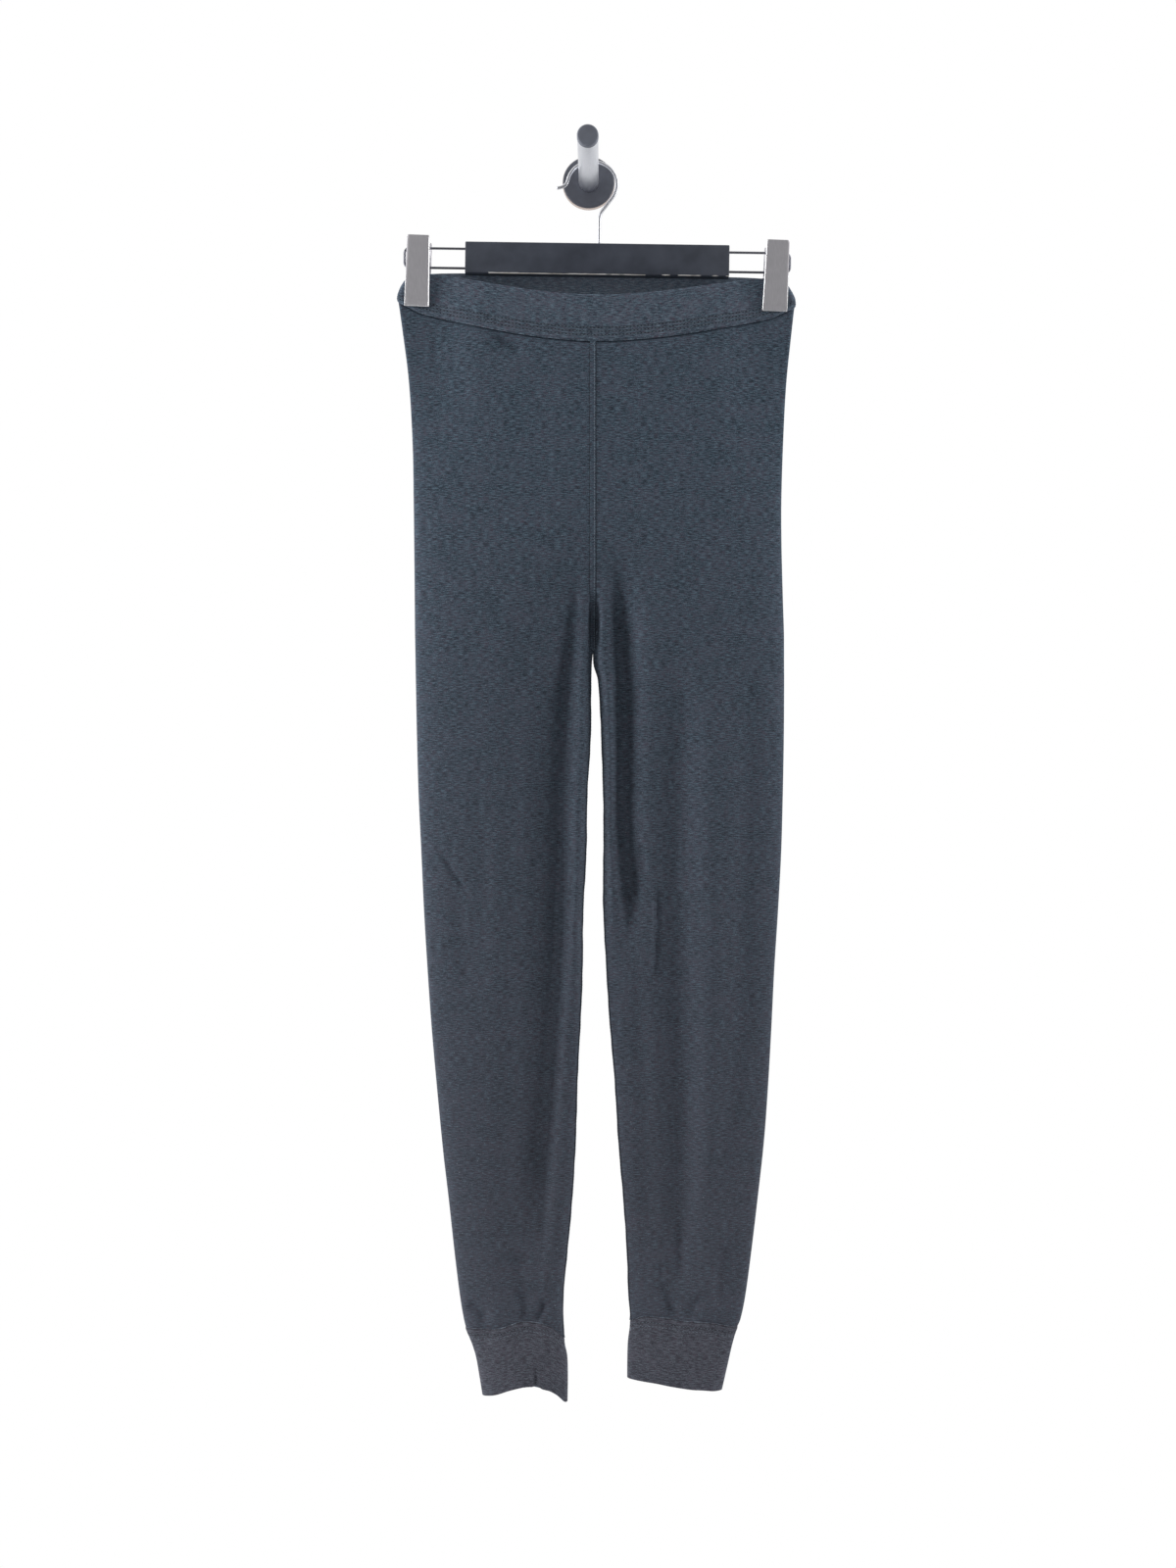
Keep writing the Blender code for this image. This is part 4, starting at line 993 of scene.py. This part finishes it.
def loft(name, shells, material, uvs=None, sharp=38.0):
    # solids through rings of points in mm, each closed at both ends
    points, faces = [], []
    for rings in shells:
        start, count, last = len(points), len(rings[0]), len(rings) - 1
        points += [tuple(point) for ring in rings for point in ring]
        for i in range(start, start + last * count, count):
            for j in range(count):
                m = (j + 1) % count
                faces.append((i + j, i + m, i + count + m, i + count + j))
        faces.append(tuple(range(start, start + count))[::-1])
        faces.append(tuple(range(start + last * count, start + (last + 1) * count)))
    return meshFrom(name, points, faces, (material,), uvs, sharp=sharp)


# A seam's half width and thickness, and how far across and how high each row of its stitches lies: as shares
# on the centre seam, and in mm on an inseam.
seam = {"half": 2.55, "thick": 0.4, "rows": ((0.5, 0.9), (-1.04, 0.2), (1.04, 0.25)), "crotchGap": 1.0}
inseam = {"half": 2.2, "thick": 0.4, "rows": ((-1.5, 0.36), (1.5, 0.36))}
halfSection = ((0.3, 0.88), (0.8, 1.0), (0.96, 0.55), (1.0, -0.4))
seamForm = {
    # the low flat-topped section of a seam's cloth, and how closely its route is followed in mm
    "profile": (*((-across, high) for across, high in reversed(halfSection)), *halfSection),
    "step": 1.5,
    "beside": 2.4,
    "lap": 0.6,
}


def ribbon(name, line, size):
    # a thin strip of the jersey that lies along a seam
    middle, across, normal = line
    profile = seamForm["profile"]
    section = [middle + across * (a * size["half"]) + normal * (b * size["thick"]) for a, b in profile]
    down = np.append(0.0, np.cumsum(np.linalg.norm(np.diff(middle, axis=0), axis=1)))
    uvs = [(a * size["half"] * mm, -d * mm) for d in down for a, b in profile]
    return settle(loft(name, [np.stack(section, axis=1)], heatherJersey, uvs, 60.0))


def centreSeamLine(face):
    # the seam's route down the front or back, and its sideways and outward directions
    end = legForm["crotch"] - seam["crotchGap"]
    drops = np.arange(band["height"] - seamForm["lap"], end + 0.01, seamForm["step"])
    left, right = (clothPoint(leg, face, seamForm["beside"], drops) for leg in ("left", "right"))
    middle, across = (left + right) / 2, unit(left - right)
    normal = unit(np.cross(unit(np.gradient(middle, axis=0)), across))
    return middle, across, normal * np.sign(normal[:, 1:2] * facing[face])


def inseamLine(leg):
    # the inside seam, down the inner edge from the crotch to the cuff
    drops = np.arange(legForm["crotch"] - seamForm["lap"], cuffs[leg][0][1] - 0.5, seamForm["step"])
    x = hang["seamX"] + sideOf[leg] * (curveThrough(legs[leg], 2, drops) + seamWobble(leg, drops))
    middle = np.stack([x, np.full(drops.shape, hang["planeY"]), hang["waistZ"] - drops], axis=1)
    across, normal = (np.tile(way, (len(drops), 1)) for way in ([0.0, 1.0, 0.0], [-sideOf[leg], 0.0, 0.0]))
    return middle, across, normal


seamLines = {face: centreSeamLine(face) for face in facing}
seamPieces = {face: ribbon(f"centre_seam_{face}", seamLines[face], seam) for face in facing}
for leg in sideOf:
    seamLines[leg] = inseamLine(leg)
    seamPieces[leg] = ribbon(f"inseam_{leg}", seamLines[leg], inseam)
print("seams made")


def newTree(name, sizes, material):
    # a Geometry Nodes tree with a named input for each size and for its material
    tree = bpy.data.node_groups.new(name, "GeometryNodeTree")
    sockets = {"Geometry": "Geometry", **dict.fromkeys(sizes, "Float"), material: "Material"}
    for label, kind in sockets.items():
        tree.interface.new_socket(label, in_out="INPUT", socket_type="NodeSocket" + kind)
    tree.interface.new_socket("Geometry", in_out="OUTPUT", socket_type="NodeSocketGeometry")
    return tree, addNode(tree, "NodeGroupInput").outputs


def endTree(tree, geometry, material):
    real = addNode(tree, "GeometryNodeRealizeInstances", {"Geometry": geometry})
    look = addNode(tree, "GeometryNodeSetMaterial", {"Geometry": real, "Material": material})
    addNode(tree, "NodeGroupOutput", {"Geometry": look})
    return tree


def growMesh(made, tree, values):
    # gives the tree its inputs by their identifiers, and keeps what it makes as a plain mesh
    modifier = made.modifiers.new(tree.name, "NODES")
    modifier.node_group = tree
    for item in tree.interface.items_tree:
        if item.in_out == "INPUT" and item.name in values:
            modifier[item.identifier] = values[item.name]
    graph = bpy.context.evaluated_depsgraph_get()
    plain = bpy.data.meshes.new_from_object(made.evaluated_get(graph))
    made.modifiers.clear()
    made.data = plain
    return made


# Each row of stitches: spacing, length and thickness of its thread in mm.
stitch = {
    "band": (3.1, 2.3, 0.36),
    "centre": (2.6, 2.3, 0.42),
    "edgeShadow": (2.2, 2.5, 0.55),
    "inseam": (2.9, 2.2, 0.3),
    "cuff": (3.0, 2.2, 0.36),
    "seed": 7,
    "lean": (0.04, 0.04, 0.10),
    "sunk": {"band": 0.24, "cuff": 0.2},
}


def stitchTree():
    tree, given = newTree("stitch row", ("Spacing", "Length", "Thickness"), "Thread")
    curve = addNode(tree, "GeometryNodeMeshToCurve", {"Mesh": given["Geometry"]})
    spaced = {"Curve": curve, "Length": given["Spacing"]}
    points = addNode(tree, "GeometryNodeResampleCurve", spaced, mode="LENGTH")
    tangent = {"Vector": addNode(tree, "GeometryNodeInputTangent")}
    turn = addNode(tree, "FunctionNodeAlignRotationToVector", tangent, axis="X")
    # each stitch leans and varies a little, as hand-fed cloth makes it
    sway = {0: tuple(-lean for lean in stitch["lean"]), 1: stitch["lean"], "Seed": stitch["seed"]}
    sway = addNode(tree, "FunctionNodeRandomValue", sway, data_type="FLOAT_VECTOR")
    euler = addNode(tree, "FunctionNodeEulerToRotation", {0: sway})
    lean = addNode(tree, "FunctionNodeRotateRotation", {0: turn, 1: euler}, rotation_space="LOCAL")
    blob = addNode(tree, "GeometryNodeMeshIcoSphere", {"Radius": 0.5, "Subdivisions": 2})
    blob = addNode(tree, "GeometryNodeSetShadeSmooth", {"Geometry": blob})
    size = {"X": given["Length"], "Y": given["Thickness"], "Z": given["Thickness"]}
    size = addNode(tree, "ShaderNodeCombineXYZ", size)
    placed = {"Points": points, "Instance": blob, "Rotation": lean, "Scale": size}
    return endTree(tree, addNode(tree, "GeometryNodeInstanceOnPoints", placed), given["Thread"])


stitchRow = stitchTree()


def sewRows(name, routes, kind, closed=False, thread=sewingThread):
    # one piece that holds the stitches of several rows
    points, edges = [], []
    for route in routes:
        base, count = len(points), len(route)
        points += (np.asarray(route) * mm).tolist()
        edges += [(base + i, base + i + 1) for i in range(count - 1)]
        edges += [(base + count - 1, base)] if closed else []
    mesh = bpy.data.meshes.new(name)
    mesh.from_pydata(points, edges, [])
    spacing, length, thickness = (size * mm for size in stitch[kind])
    values = {"Spacing": spacing, "Length": length, "Thickness": thickness, "Thread": thread}
    return settle(growMesh(addObject(name, mesh), stitchRow, values))


def ringRoute(row, proud, kind):
    ring, outward = row
    return ring + outward * (proud - stitch["sunk"][kind])


routes = [ringRoute(bandRow(above / band["height"]), band["proud"], "band") for above in bandStitches]
sewRows("band_topstitching", routes, "band", closed=True)
for face in facing:
    middle, across, normal = seamLines[face]
    rows = [middle + across * (a * seam["half"]) + normal * (seam["thick"] * b) for a, b in seam["rows"]]
    sewRows(f"centre_seam_stitches_{face}", rows[:1], "centre")
    # the strip's two outer rows, in dark thread, are painted shadow lines at its edges
    sewRows(f"centre_seam_overlock_{face}", rows[1:], "edgeShadow", thread=shadowLineThread)
for leg in sideOf:
    middle, across, normal = seamLines[leg]
    rows = [middle + across * a + normal * b for a, b in inseam["rows"]]
    sewRows(f"inseam_stitches_{leg}", rows, "inseam")
    rings = [cuffRing(leg, below / cuff["height"]) for below in cuff["stitchRows"]]
    routes = [ringRoute(ring, cuff["proud"], "cuff") for ring in rings]
    sewRows(f"cuff_stitches_{leg}", routes, "cuff", closed=True)
print("stitches made")


def place(x, y, z):
    # from the hanger's own level frame, about the bar's centre, to where it hangs tilted
    turn = Matrix.Rotation(hang["tilt"], 3, "Y")
    return turn @ Vector((x, y, z)) + Vector((hang["barX"], hang["planeY"], hang["barZ"]))


domed = ((0.35, 0.86), (0.9, 0.4))  # rings of a wire's domed end: how far past it and how wide, as shares


def wire(name, route, radius, material, sides=18):
    # a round wire along a smooth route, with domed ends
    route = [Vector(point) for point in route]
    turns = [math.tau * k / sides for k in range(sides)]
    rings, side, last = [], None, len(route) - 1
    for i, point in enumerate(route):
        along = (route[min(i + 1, last)] - route[max(i - 1, 0)]).normalized()
        side = along.orthogonal() if side is None else side - along * side.dot(along)
        side = side.normalized()
        other = along.cross(side)
        ends = [(-ahead, share) for ahead, share in domed[::-1]] if i == 0 else []
        ends.append((0.0, 1.0))
        ends += domed if i == last else ()
        for ahead, share in ends:
            centre, wide = point + along * radius * ahead, radius * share
            rings.append([centre + side * (wide * math.cos(t)) + other * (wide * math.sin(t)) for t in turns])
    return loft(name, [rings], material)


def arc(centre, radii, start, end, steps):
    turns = [math.radians(mix(start, end, i / steps)) for i in range(steps + 1)]
    return [(centre[0] + radii[0] * math.cos(t), 0.0, centre[1] + radii[1] * math.sin(t)) for t in turns]


def bend(start, corner, end, steps=5):
    # a smooth turn between two points, drawn towards a corner
    a, b, c = (np.array(point, float) for point in (start, corner, end))
    return [tuple((1 - s) ** 2 * a + 2 * s * (1 - s) * b + s * s * c) for s in np.linspace(0, 1, steps + 1)]


bar = {
    "length": 228.6,
    "height": 27.3,
    "thick": 12.4,
    "edge": 1.3,
    "eased": ((0.0, 0.55), (0.2, 0.2), (0.6, 0.0)),  # distance from the end, and how far the bar is drawn in
}


def buildBar():
    # a bar whose long edges are rounded over and whose ends are lightly eased
    end, deep, high, edge = bar["length"] / 2, bar["thick"] / 2, bar["height"] / 2, bar["edge"]
    eased = [(away - end, inset) for away, inset in bar["eased"]]
    rings = []
    for x, inset in eased + [(-x, inset) for x, inset in reversed(eased)]:
        ring = []
        for k, (sy, sz) in enumerate(((1, 1), (-1, 1), (-1, -1), (1, -1))):
            for angle in (math.radians(90 * k + 22.5 * s) for s in range(5)):
                y = (sy * (deep - edge) + edge * math.cos(angle)) * (1.0 - inset / deep)
                z = (sz * (high - edge) + edge * math.sin(angle)) * (1.0 - inset / high)
                ring.append(place(x, y, z))
        rings.append(ring)
    settle(loft("bar_lacquered", [rings], blackLacquer), "hanger_bar")


hook = {
    "wire": 3.0,
    "radii": (21.5, 19.9),
    "centre": (-5.2, 65.8),
    "start": -35.0,
    "end": 168.0,
    "stemX": 1.3,
    "footDepth": 10.0,
    "tip": ((-1.2, 0.0, -3.6), (-2.8, 0.0, -6.6), (-8.8, 0.0, -7.6)),
}


def buildHook():
    # a stem, a bend into the round part, and a tip turned outwards
    roundPart = arc(hook["centre"], hook["radii"], hook["start"], hook["end"], 72)
    slope, (wide, high) = math.radians(hook["start"]), hook["radii"]
    along = Vector((-wide * math.sin(slope), 0.0, high * math.cos(slope))).normalized()
    start, end = Vector(roundPart[0]), Vector(roundPart[-1])
    corner = start - along * (start.x - hook["stemX"]) / along.x
    foot = bar["height"] / 2 - hook["footDepth"]
    route = [(hook["stemX"], 0.0, z) for z in np.linspace(foot, corner.z - 6.0, 6)]
    route += bend(corner - Vector((0.0, 0.0, 5.0)), corner, corner + along * 5.0, 12)
    route += roundPart
    route += bend(*(end + Vector(step) for step in hook["tip"]), 12)
    made = wire("hook_wire", [place(*point) for point in route], hook["wire"] / 2, hookWire, 20)
    settle(made, "hanger_hook")


rail = {"wire": 2.2, "spacing": 16.9, "reach": 168.2, "corner": 4.5, "socket": 22.0}


def buildRail(leg):
    # out along the lower run, round two corners and back along the upper one
    start, high, corner = bar["length"] / 2 - rail["socket"], rail["spacing"] / 2, rail["corner"]
    cornerX, cornerZ = rail["reach"] - rail["wire"] / 2 - corner, high - corner
    run = np.linspace(start, cornerX - 1.0, 10)
    route = [(x, 0.0, -high) for x in run]
    route += arc((cornerX, -cornerZ), (corner, corner), -90.0, 0.0, 12)
    route += arc((cornerX, cornerZ), (corner, corner), 0.0, 90.0, 12)
    route += [(x, 0.0, high) for x in run[::-1]]
    route = [place(sideOf[leg] * x, y, z) for x, y, z in route]
    settle(wire(f"rail_{leg}_wire", route, rail["wire"] / 2, railWire, 16), f"rail_{leg}")


buildBar()
buildHook()
for leg in sideOf:
    buildRail(leg)
print("bar, hook and rails made")

clip = {
    "offset": {"right": 154.6, "left": 155.3},
    "turn": {"right": math.radians(1.5), "left": math.radians(1.4)},
    "width": 21.7,
    "topWidth": 19.4,
    "top": 16.5,
    "height": 59.2,
    "sheet": 1.3,
    "spread": 8.6,
    "lean": 2.0,
    "flange": 5.2,
    "flangeInset": 0.5,
    "lipRise": 5.0,
    "lipSoft": 1.6,
    "pin": 1.5,
    "gap": 0.3,
    "corner": 0.7,
    "curl": 0.7,
    "rim": 0.5,
    "rimInset": 0.45,
}
clipLip = legForm["holdHalf"] + band["proud"] + clip["gap"]
clipBottom = clip["top"] - clip["height"]
plateMesh = {"across": 16, "lipRows": 12, "rows": 32, "lipZone": 8.0}


def clipTaper(z):
    return mix(1.0, clip["topWidth"] / clip["width"], (z - clipBottom) / clip["height"])


def onClip(leg, x, y, z):
    # from a clip's own frame to where it hangs on its rail
    turned = Matrix.Rotation(clip["turn"][leg], 3, "Y") @ Vector((x, y, z))
    return place(turned.x + sideOf[leg] * clip["offset"][leg], turned.y, turned.z)


def plateOut(z):
    # distance of a plate's inner face from the hanging plane at this height
    share = (z - clipBottom - clip["lipRise"]) / (clip["height"] - clip["lipRise"])
    return clipLip + clip["lean"] + clip["spread"] * share


def plateSurface(z):
    # the plate's inner face: the lip leans in at its foot and the plate leans out to its head
    rise, soft = clipBottom + clip["lipRise"], clip["lipSoft"]
    if z > rise + soft:
        return plateOut(z)
    lip = mix(clipLip, plateOut(rise), (min(z, rise - soft) - clipBottom) / clip["lipRise"])
    if z < rise - soft:
        return lip
    t = (z - rise + soft) / (2 * soft)
    return (1 - t) ** 2 * lip + 2 * t * (1 - t) * plateOut(rise) + t * t * plateOut(rise + soft)


def plateRing(leg, which, z):
    # the plate's section at one height: out along its face and back along its inside
    half = clip["width"] / 2 * clipTaper(z)
    short = max(0.0, clip["corner"] - (clip["top"] - z))
    half -= clip["corner"] - math.sqrt(clip["corner"] ** 2 - short**2)
    columns = np.linspace(-1, 1, plateMesh["across"] + 1)
    ring = []
    for push, bow, line in ((clip["sheet"], 0.75, columns), (0.0, 0.35, columns[::-1])):
        for share in line:
            x = half * math.copysign(abs(share) ** 0.85, share)
            # the sides curl back into the flanges
            edge = min(0.97, max(0.0, (abs(x) - (half - clip["curl"])) / clip["curl"]))
            back = clip["curl"] * (1 - math.sqrt(1 - edge**2))
            ring.append(onClip(leg, x, facing[which] * (plateSurface(z) + push - back * bow), z))
    return ring


def buildPlate(leg, which):
    # a pressed plate with rolled edges and a flange down each side, rounded where it nears the pin
    ahead, sheet, half = facing[which], clip["sheet"], clip["width"] / 2
    lip = clipBottom + plateMesh["lipZone"]
    heights = [*np.linspace(clipBottom, lip, plateMesh["lipRows"] + 1)[:-1]]
    heights += [*np.linspace(lip, clip["top"], plateMesh["rows"] + 1)]
    shells = [[plateRing(leg, which, z) for z in heights]]
    pinSide = clip["pin"] + clip["gap"]
    outline = [(plateOut(z) + sheet / 2, z) for z in (-11.0, 12.5)]
    outline += bend((plateOut(9.0) - 1.0, 9.5), (plateOut(5.0) - clip["flange"], 5.0), (pinSide, 2.8))
    inner = plateOut(-5.0) - clip["flange"] + 1.5
    outline += [(pinSide, -2.8), *bend((pinSide, -3.2), (inner, -5.5), (plateOut(-9.0), -10.0))]
    outer = half - clip["flangeInset"]
    for side in (-1, 1):
        flange = []
        for x in (outer, outer - sheet):
            flange.append([onClip(leg, side * x * clipTaper(z), ahead * y, z) for y, z in outline])
        shells.append(flange)
    name = f"clip_{leg}_{which}"
    settle(loft(f"{name}_plate", shells, satinNickel, sharp=50.0), name)
    # the plate's cut edge shows brighter round its foot, where the lip is rolled
    low, edge = clipBottom + clip["rimInset"], half - clip["rimInset"]
    rim = [(-edge, z) for z in np.linspace(-13.0, low + 1.0, 12)]
    rim += bend((-edge, low + 0.8), (-edge, low), (0.8 - edge, low))
    rim += [(x, low) for x in np.linspace(1.6 - edge, edge - 1.6, 8)]
    rim += bend((edge - 0.8, low), (edge, low), (edge, low + 0.8))
    rim += [(edge, z) for z in np.linspace(low + 1.0, clip["top"] - 1.2, 24)]
    route = []
    for x, z in rim:
        out = plateSurface(z) + sheet - 0.42
        route.append(onClip(leg, -sideOf[leg] * x * clipTaper(z), ahead * out, z))
    settle(wire(f"{name}_rim", route, clip["rim"], brightNickel, 8))


spring = {"radius": 6.6, "length": 9.0, "wire": 1.3, "turns": 6, "overhang": 0.4}


def springTree():
    # a coil swept along a spiral with a round wire, and the pin through it
    sizes = ("Coil radius", "Coil length", "Wire radius", "Pin radius", "Pin length", "Turns")
    tree, given = newTree("clip spring", sizes, "Metal")

    def swept(curve, radius, sides):
        ring = {"Resolution": sides, "Radius": radius}
        ring = addNode(tree, "GeometryNodeCurvePrimitiveCircle", ring)
        sweep = {"Curve": curve, "Profile Curve": ring, "Fill Caps": True}
        return addNode(tree, "GeometryNodeCurveToMesh", sweep)

    def upBy(length, share):
        up = addNode(tree, "ShaderNodeMath", {0: length, 1: share}, operation="MULTIPLY")
        return addNode(tree, "ShaderNodeCombineXYZ", {"Z": up})

    spiral = {"Resolution": 28, "Rotations": given["Turns"], "Height": given["Coil length"]}
    spiral.update({f"{end} Radius": given["Coil radius"] for end in ("Start", "End")})
    coil = swept(addNode(tree, "GeometryNodeCurveSpiral", spiral), given["Wire radius"], 10)
    coil = {"Geometry": coil, "Translation": upBy(given["Coil length"], -0.5)}
    coil = addNode(tree, "GeometryNodeTransform", coil)
    pin = {"Start": upBy(given["Pin length"], -0.5), "End": upBy(given["Pin length"], 0.5)}
    pin = swept(addNode(tree, "GeometryNodeCurvePrimitiveLine", pin), given["Pin radius"], 20)
    both = addNode(tree, "GeometryNodeJoinGeometry", {0: coil})
    setInputs(both, {0: pin})
    smoothed = addNode(tree, "GeometryNodeSetShadeSmooth", {"Geometry": both})
    return endTree(tree, smoothed, given["Metal"])


springShape = springTree()


def buildSpring(leg):
    name = f"clip_{leg}_coil"
    sizes = {
        "Coil radius": (spring["radius"] - spring["wire"] / 2) * mm,
        "Coil length": (spring["length"] - spring["wire"]) * mm,
        "Wire radius": spring["wire"] / 2 * mm,
        "Pin radius": clip["pin"] * mm,
        "Pin length": (clip["width"] * clipTaper(0.0) + 2 * spring["overhang"]) * mm,
        "Turns": float(spring["turns"]),
        "Metal": chromeWire,
    }
    made = growMesh(addObject(name, bpy.data.meshes.new(name)), springShape, sizes)
    # the coil's axis turns from upright to level, and goes to the clip's place
    turn = Matrix.Rotation(hang["tilt"] + clip["turn"][leg], 4, "Y") @ Matrix.Rotation(math.pi / 2, 4, "Y")
    made.data.transform(Matrix.Translation(onClip(leg, 0.0, 0.0, 0.0) * mm) @ turn)
    settle(made, f"clip_{leg}_spring")


for leg in sideOf:
    buildSpring(leg)
    for which in facing:
        buildPlate(leg, which)
print("clips made")

wallHook = {
    "plate": 23.0,
    "plateThick": 7.0,
    "plateEdge": 1.8,
    "rod": 8.7,
    "reach": 126.5,
    "rise": 2.0,
    "drift": -0.8,
    "cap": 8.9,
    "capThick": 7.0,
    "capEdge": 1.5,
}


def turned(name, stations, material, node, slotName, sides=96):
    # a round solid along the rod: each station is a depth in front of the wall, a radius and its share of the
    # rod's slope
    rings = []
    for y, radius, share in stations:
        turns = [math.tau * i / sides for i in range(sides)]
        x, z = wallHook["drift"] * share, wallHook["rise"] * share
        rings.append([(x + radius * math.cos(t), y, z + radius * math.sin(t)) for t in turns])
    return settle(loft(name, [rings], material), node)


def roundedEdge(y, radius, size, steps=6):
    # stations round a moulded edge, from the side of a disc to its front
    turns = [math.pi / 2 * i / steps for i in range(steps + 1)]
    return [(y + size * (1 - math.sin(t)), radius - size * (1 - math.cos(t))) for t in turns]


def buildWallHook():
    thick, radius, reach = wallHook["plateThick"], wallHook["plate"], wallHook["reach"]
    plate = [(0.0, radius - 0.5), (-0.5, radius), *roundedEdge(-thick, radius, wallHook["plateEdge"])]
    plate += [(-thick, radius - 5.0), (-thick, wallHook["rod"] + 1.0), (-thick, 1.0)]
    plate = [(y, r, 0.0) for y, r in plate]
    made = turned("wall_plate_moulded", plate, blackPlastic, "wall_plate", "black_plastic")
    # the disc's side is a satin steel ring round the black face
    made.data.materials.append(steelRing)
    for face in made.data.polygons:
        face.material_index = 1 if abs(face.normal.y) < 0.5 else 0
    front = -thick - clip["gap"]
    end = front - reach
    rod = [(mix(front, end, s), wallHook["rod"], s) for s in (0.0, 0.02, 0.2, 0.4, 0.6, 0.8, 0.98, 1.0)]
    turned("wall_rod_tube", rod, chromeRod, "wall_rod", "chrome_wire")
    back, wide = end - clip["gap"], wallHook["cap"]
    tip = back - wallHook["capThick"]
    cap = [(back, wide - 0.3), (back - 0.3, wide), *roundedEdge(tip, wide, wallHook["capEdge"]), (tip, 1.0)]
    cap = [(y, r, (front - y) / reach) for y, r in cap]
    turned("wall_cap_moulded", cap, capPlasticPaintedLighter, "wall_cap", "black_plastic")


buildWallHook()
print("wall hook made")
studio = {
    "floorZ": -1.6,
    "floorRadius": 1.0,
    "floorTint": (0.86, 0.86, 0.87, 1.0),
    "wallLight": 0.5,
    "rimLight": 1.1,
    "roomLight": 0.2,
    "ceilingLight": 0.45,
    "mirrorLight": 0.24,
    "softboxes": {"left softbox": (-1.0, 24.5, 0.0), "right softbox": (1.0, 19.4, 0.3)},  # side, power, rise
    "boxSize": (0.8, 1.7),
    "boxPlace": (1.45, -0.33, -0.12),
    "boxAim": (0.0, 0.0, -0.5),
    "lens": 50.2875,
    "sensor": 36.0,
    "eye": (-0.0006, -1.931, -0.5286),
}


def buildFloor():
    shape = bmesh.new()
    bmesh.ops.create_circle(shape, cap_ends=True, segments=96, radius=studio["floorRadius"])
    bmesh.ops.translate(shape, verts=shape.verts, vec=(0.0, 0.0, studio["floorZ"]))
    mesh = bpy.data.meshes.new("floor")
    shape.to_mesh(mesh)
    shape.free()
    finish = {"Base Color": studio["floorTint"], "Roughness": 0.9}
    mesh.materials.append(newMaterial("pale studio floor", finish)[0])
    addObject("floor", mesh)


def buildRoom():
    # the wall behind is brightly lit and the room in front is dim, so edges glow and hollows stay dark
    world = bpy.data.worlds.new("studio")
    bpy.context.scene.world = world
    world.use_nodes = True
    tree = world.node_tree
    tree.nodes.clear()
    way = addNode(tree, "ShaderNodeTexCoord").outputs["Generated"]
    depth, height = addNode(tree, "ShaderNodeSeparateXYZ", {0: way}).outputs[1:]
    room, rim, wall = (grey(studio[light]) for light in ("roomLight", "rimLight", "wallLight"))
    stops = [(0.0, room), (0.2, rim), (0.6, rim), (0.85, wall)]
    level = addNode(tree, "ShaderNodeValToRGB", {0: depth}, stops)
    # a pale ceiling shades what runs level: the band's lower edge, the topstitching, the folds over the cuffs
    ceiling = {0: height, 1: 0.25, 2: 0.7, 3: 0.0, 4: studio["ceilingLight"]}
    ceiling = addNode(tree, "ShaderNodeMapRange", ceiling)
    light = addNode(tree, "ShaderNodeMath", {0: level, 1: ceiling}, operation="ADD")
    # polished metal mirrors the wall as bright as it is seen
    ray = addNode(tree, "ShaderNodeLightPath").outputs
    mirrored = {0: depth, 1: 0.55, 2: 0.85, 3: 0.0, 4: studio["mirrorLight"]}
    mirrored = addNode(tree, "ShaderNodeMapRange", mirrored)
    light = {0: mirrored, 1: ray["Is Glossy Ray"], 2: light}
    light = addNode(tree, "ShaderNodeMath", light, operation="MULTIPLY_ADD")
    # the camera sees plain white
    seen = addNode(tree, "ShaderNodeBackground", {"Color": grey(1.0), "Strength": 1.0})
    lit = addNode(tree, "ShaderNodeBackground", {"Color": grey(1.0), "Strength": light})
    either = addNode(tree, "ShaderNodeMixShader", {0: ray["Is Camera Ray"], 1: lit, 2: seen})
    addNode(tree, "ShaderNodeOutputWorld", {0: either})


def buildLights():
    # a tall softbox at each side, a little in front: ridges and outer edges catch it and hollows lie in shade
    away, ahead, height = studio["boxPlace"]
    for name, (side, power, rise) in studio["softboxes"].items():
        light = bpy.data.lights.new(name, "AREA")
        light.shape = "RECTANGLE"
        light.size, light.size_y = studio["boxSize"]
        light.energy = power
        lamp = addObject(name, light)
        lamp.location = (side * away, ahead, height + rise)
        aim = Vector(studio["boxAim"]) - lamp.location
        lamp.rotation_euler = aim.to_track_quat("-Z", "Y").to_euler()


def buildCamera():
    camera = bpy.data.cameras.new("camera")
    camera.lens, camera.sensor_width = studio["lens"], studio["sensor"]
    eye = addObject("camera", camera)
    eye.location = studio["eye"]
    eye.rotation_euler = (math.pi / 2, 0.0, 0.0)
    bpy.context.scene.camera = eye
    bpy.context.scene.view_settings.view_transform = "Standard"


buildFloor()
buildRoom()
buildLights()
buildCamera()
print("studio made")
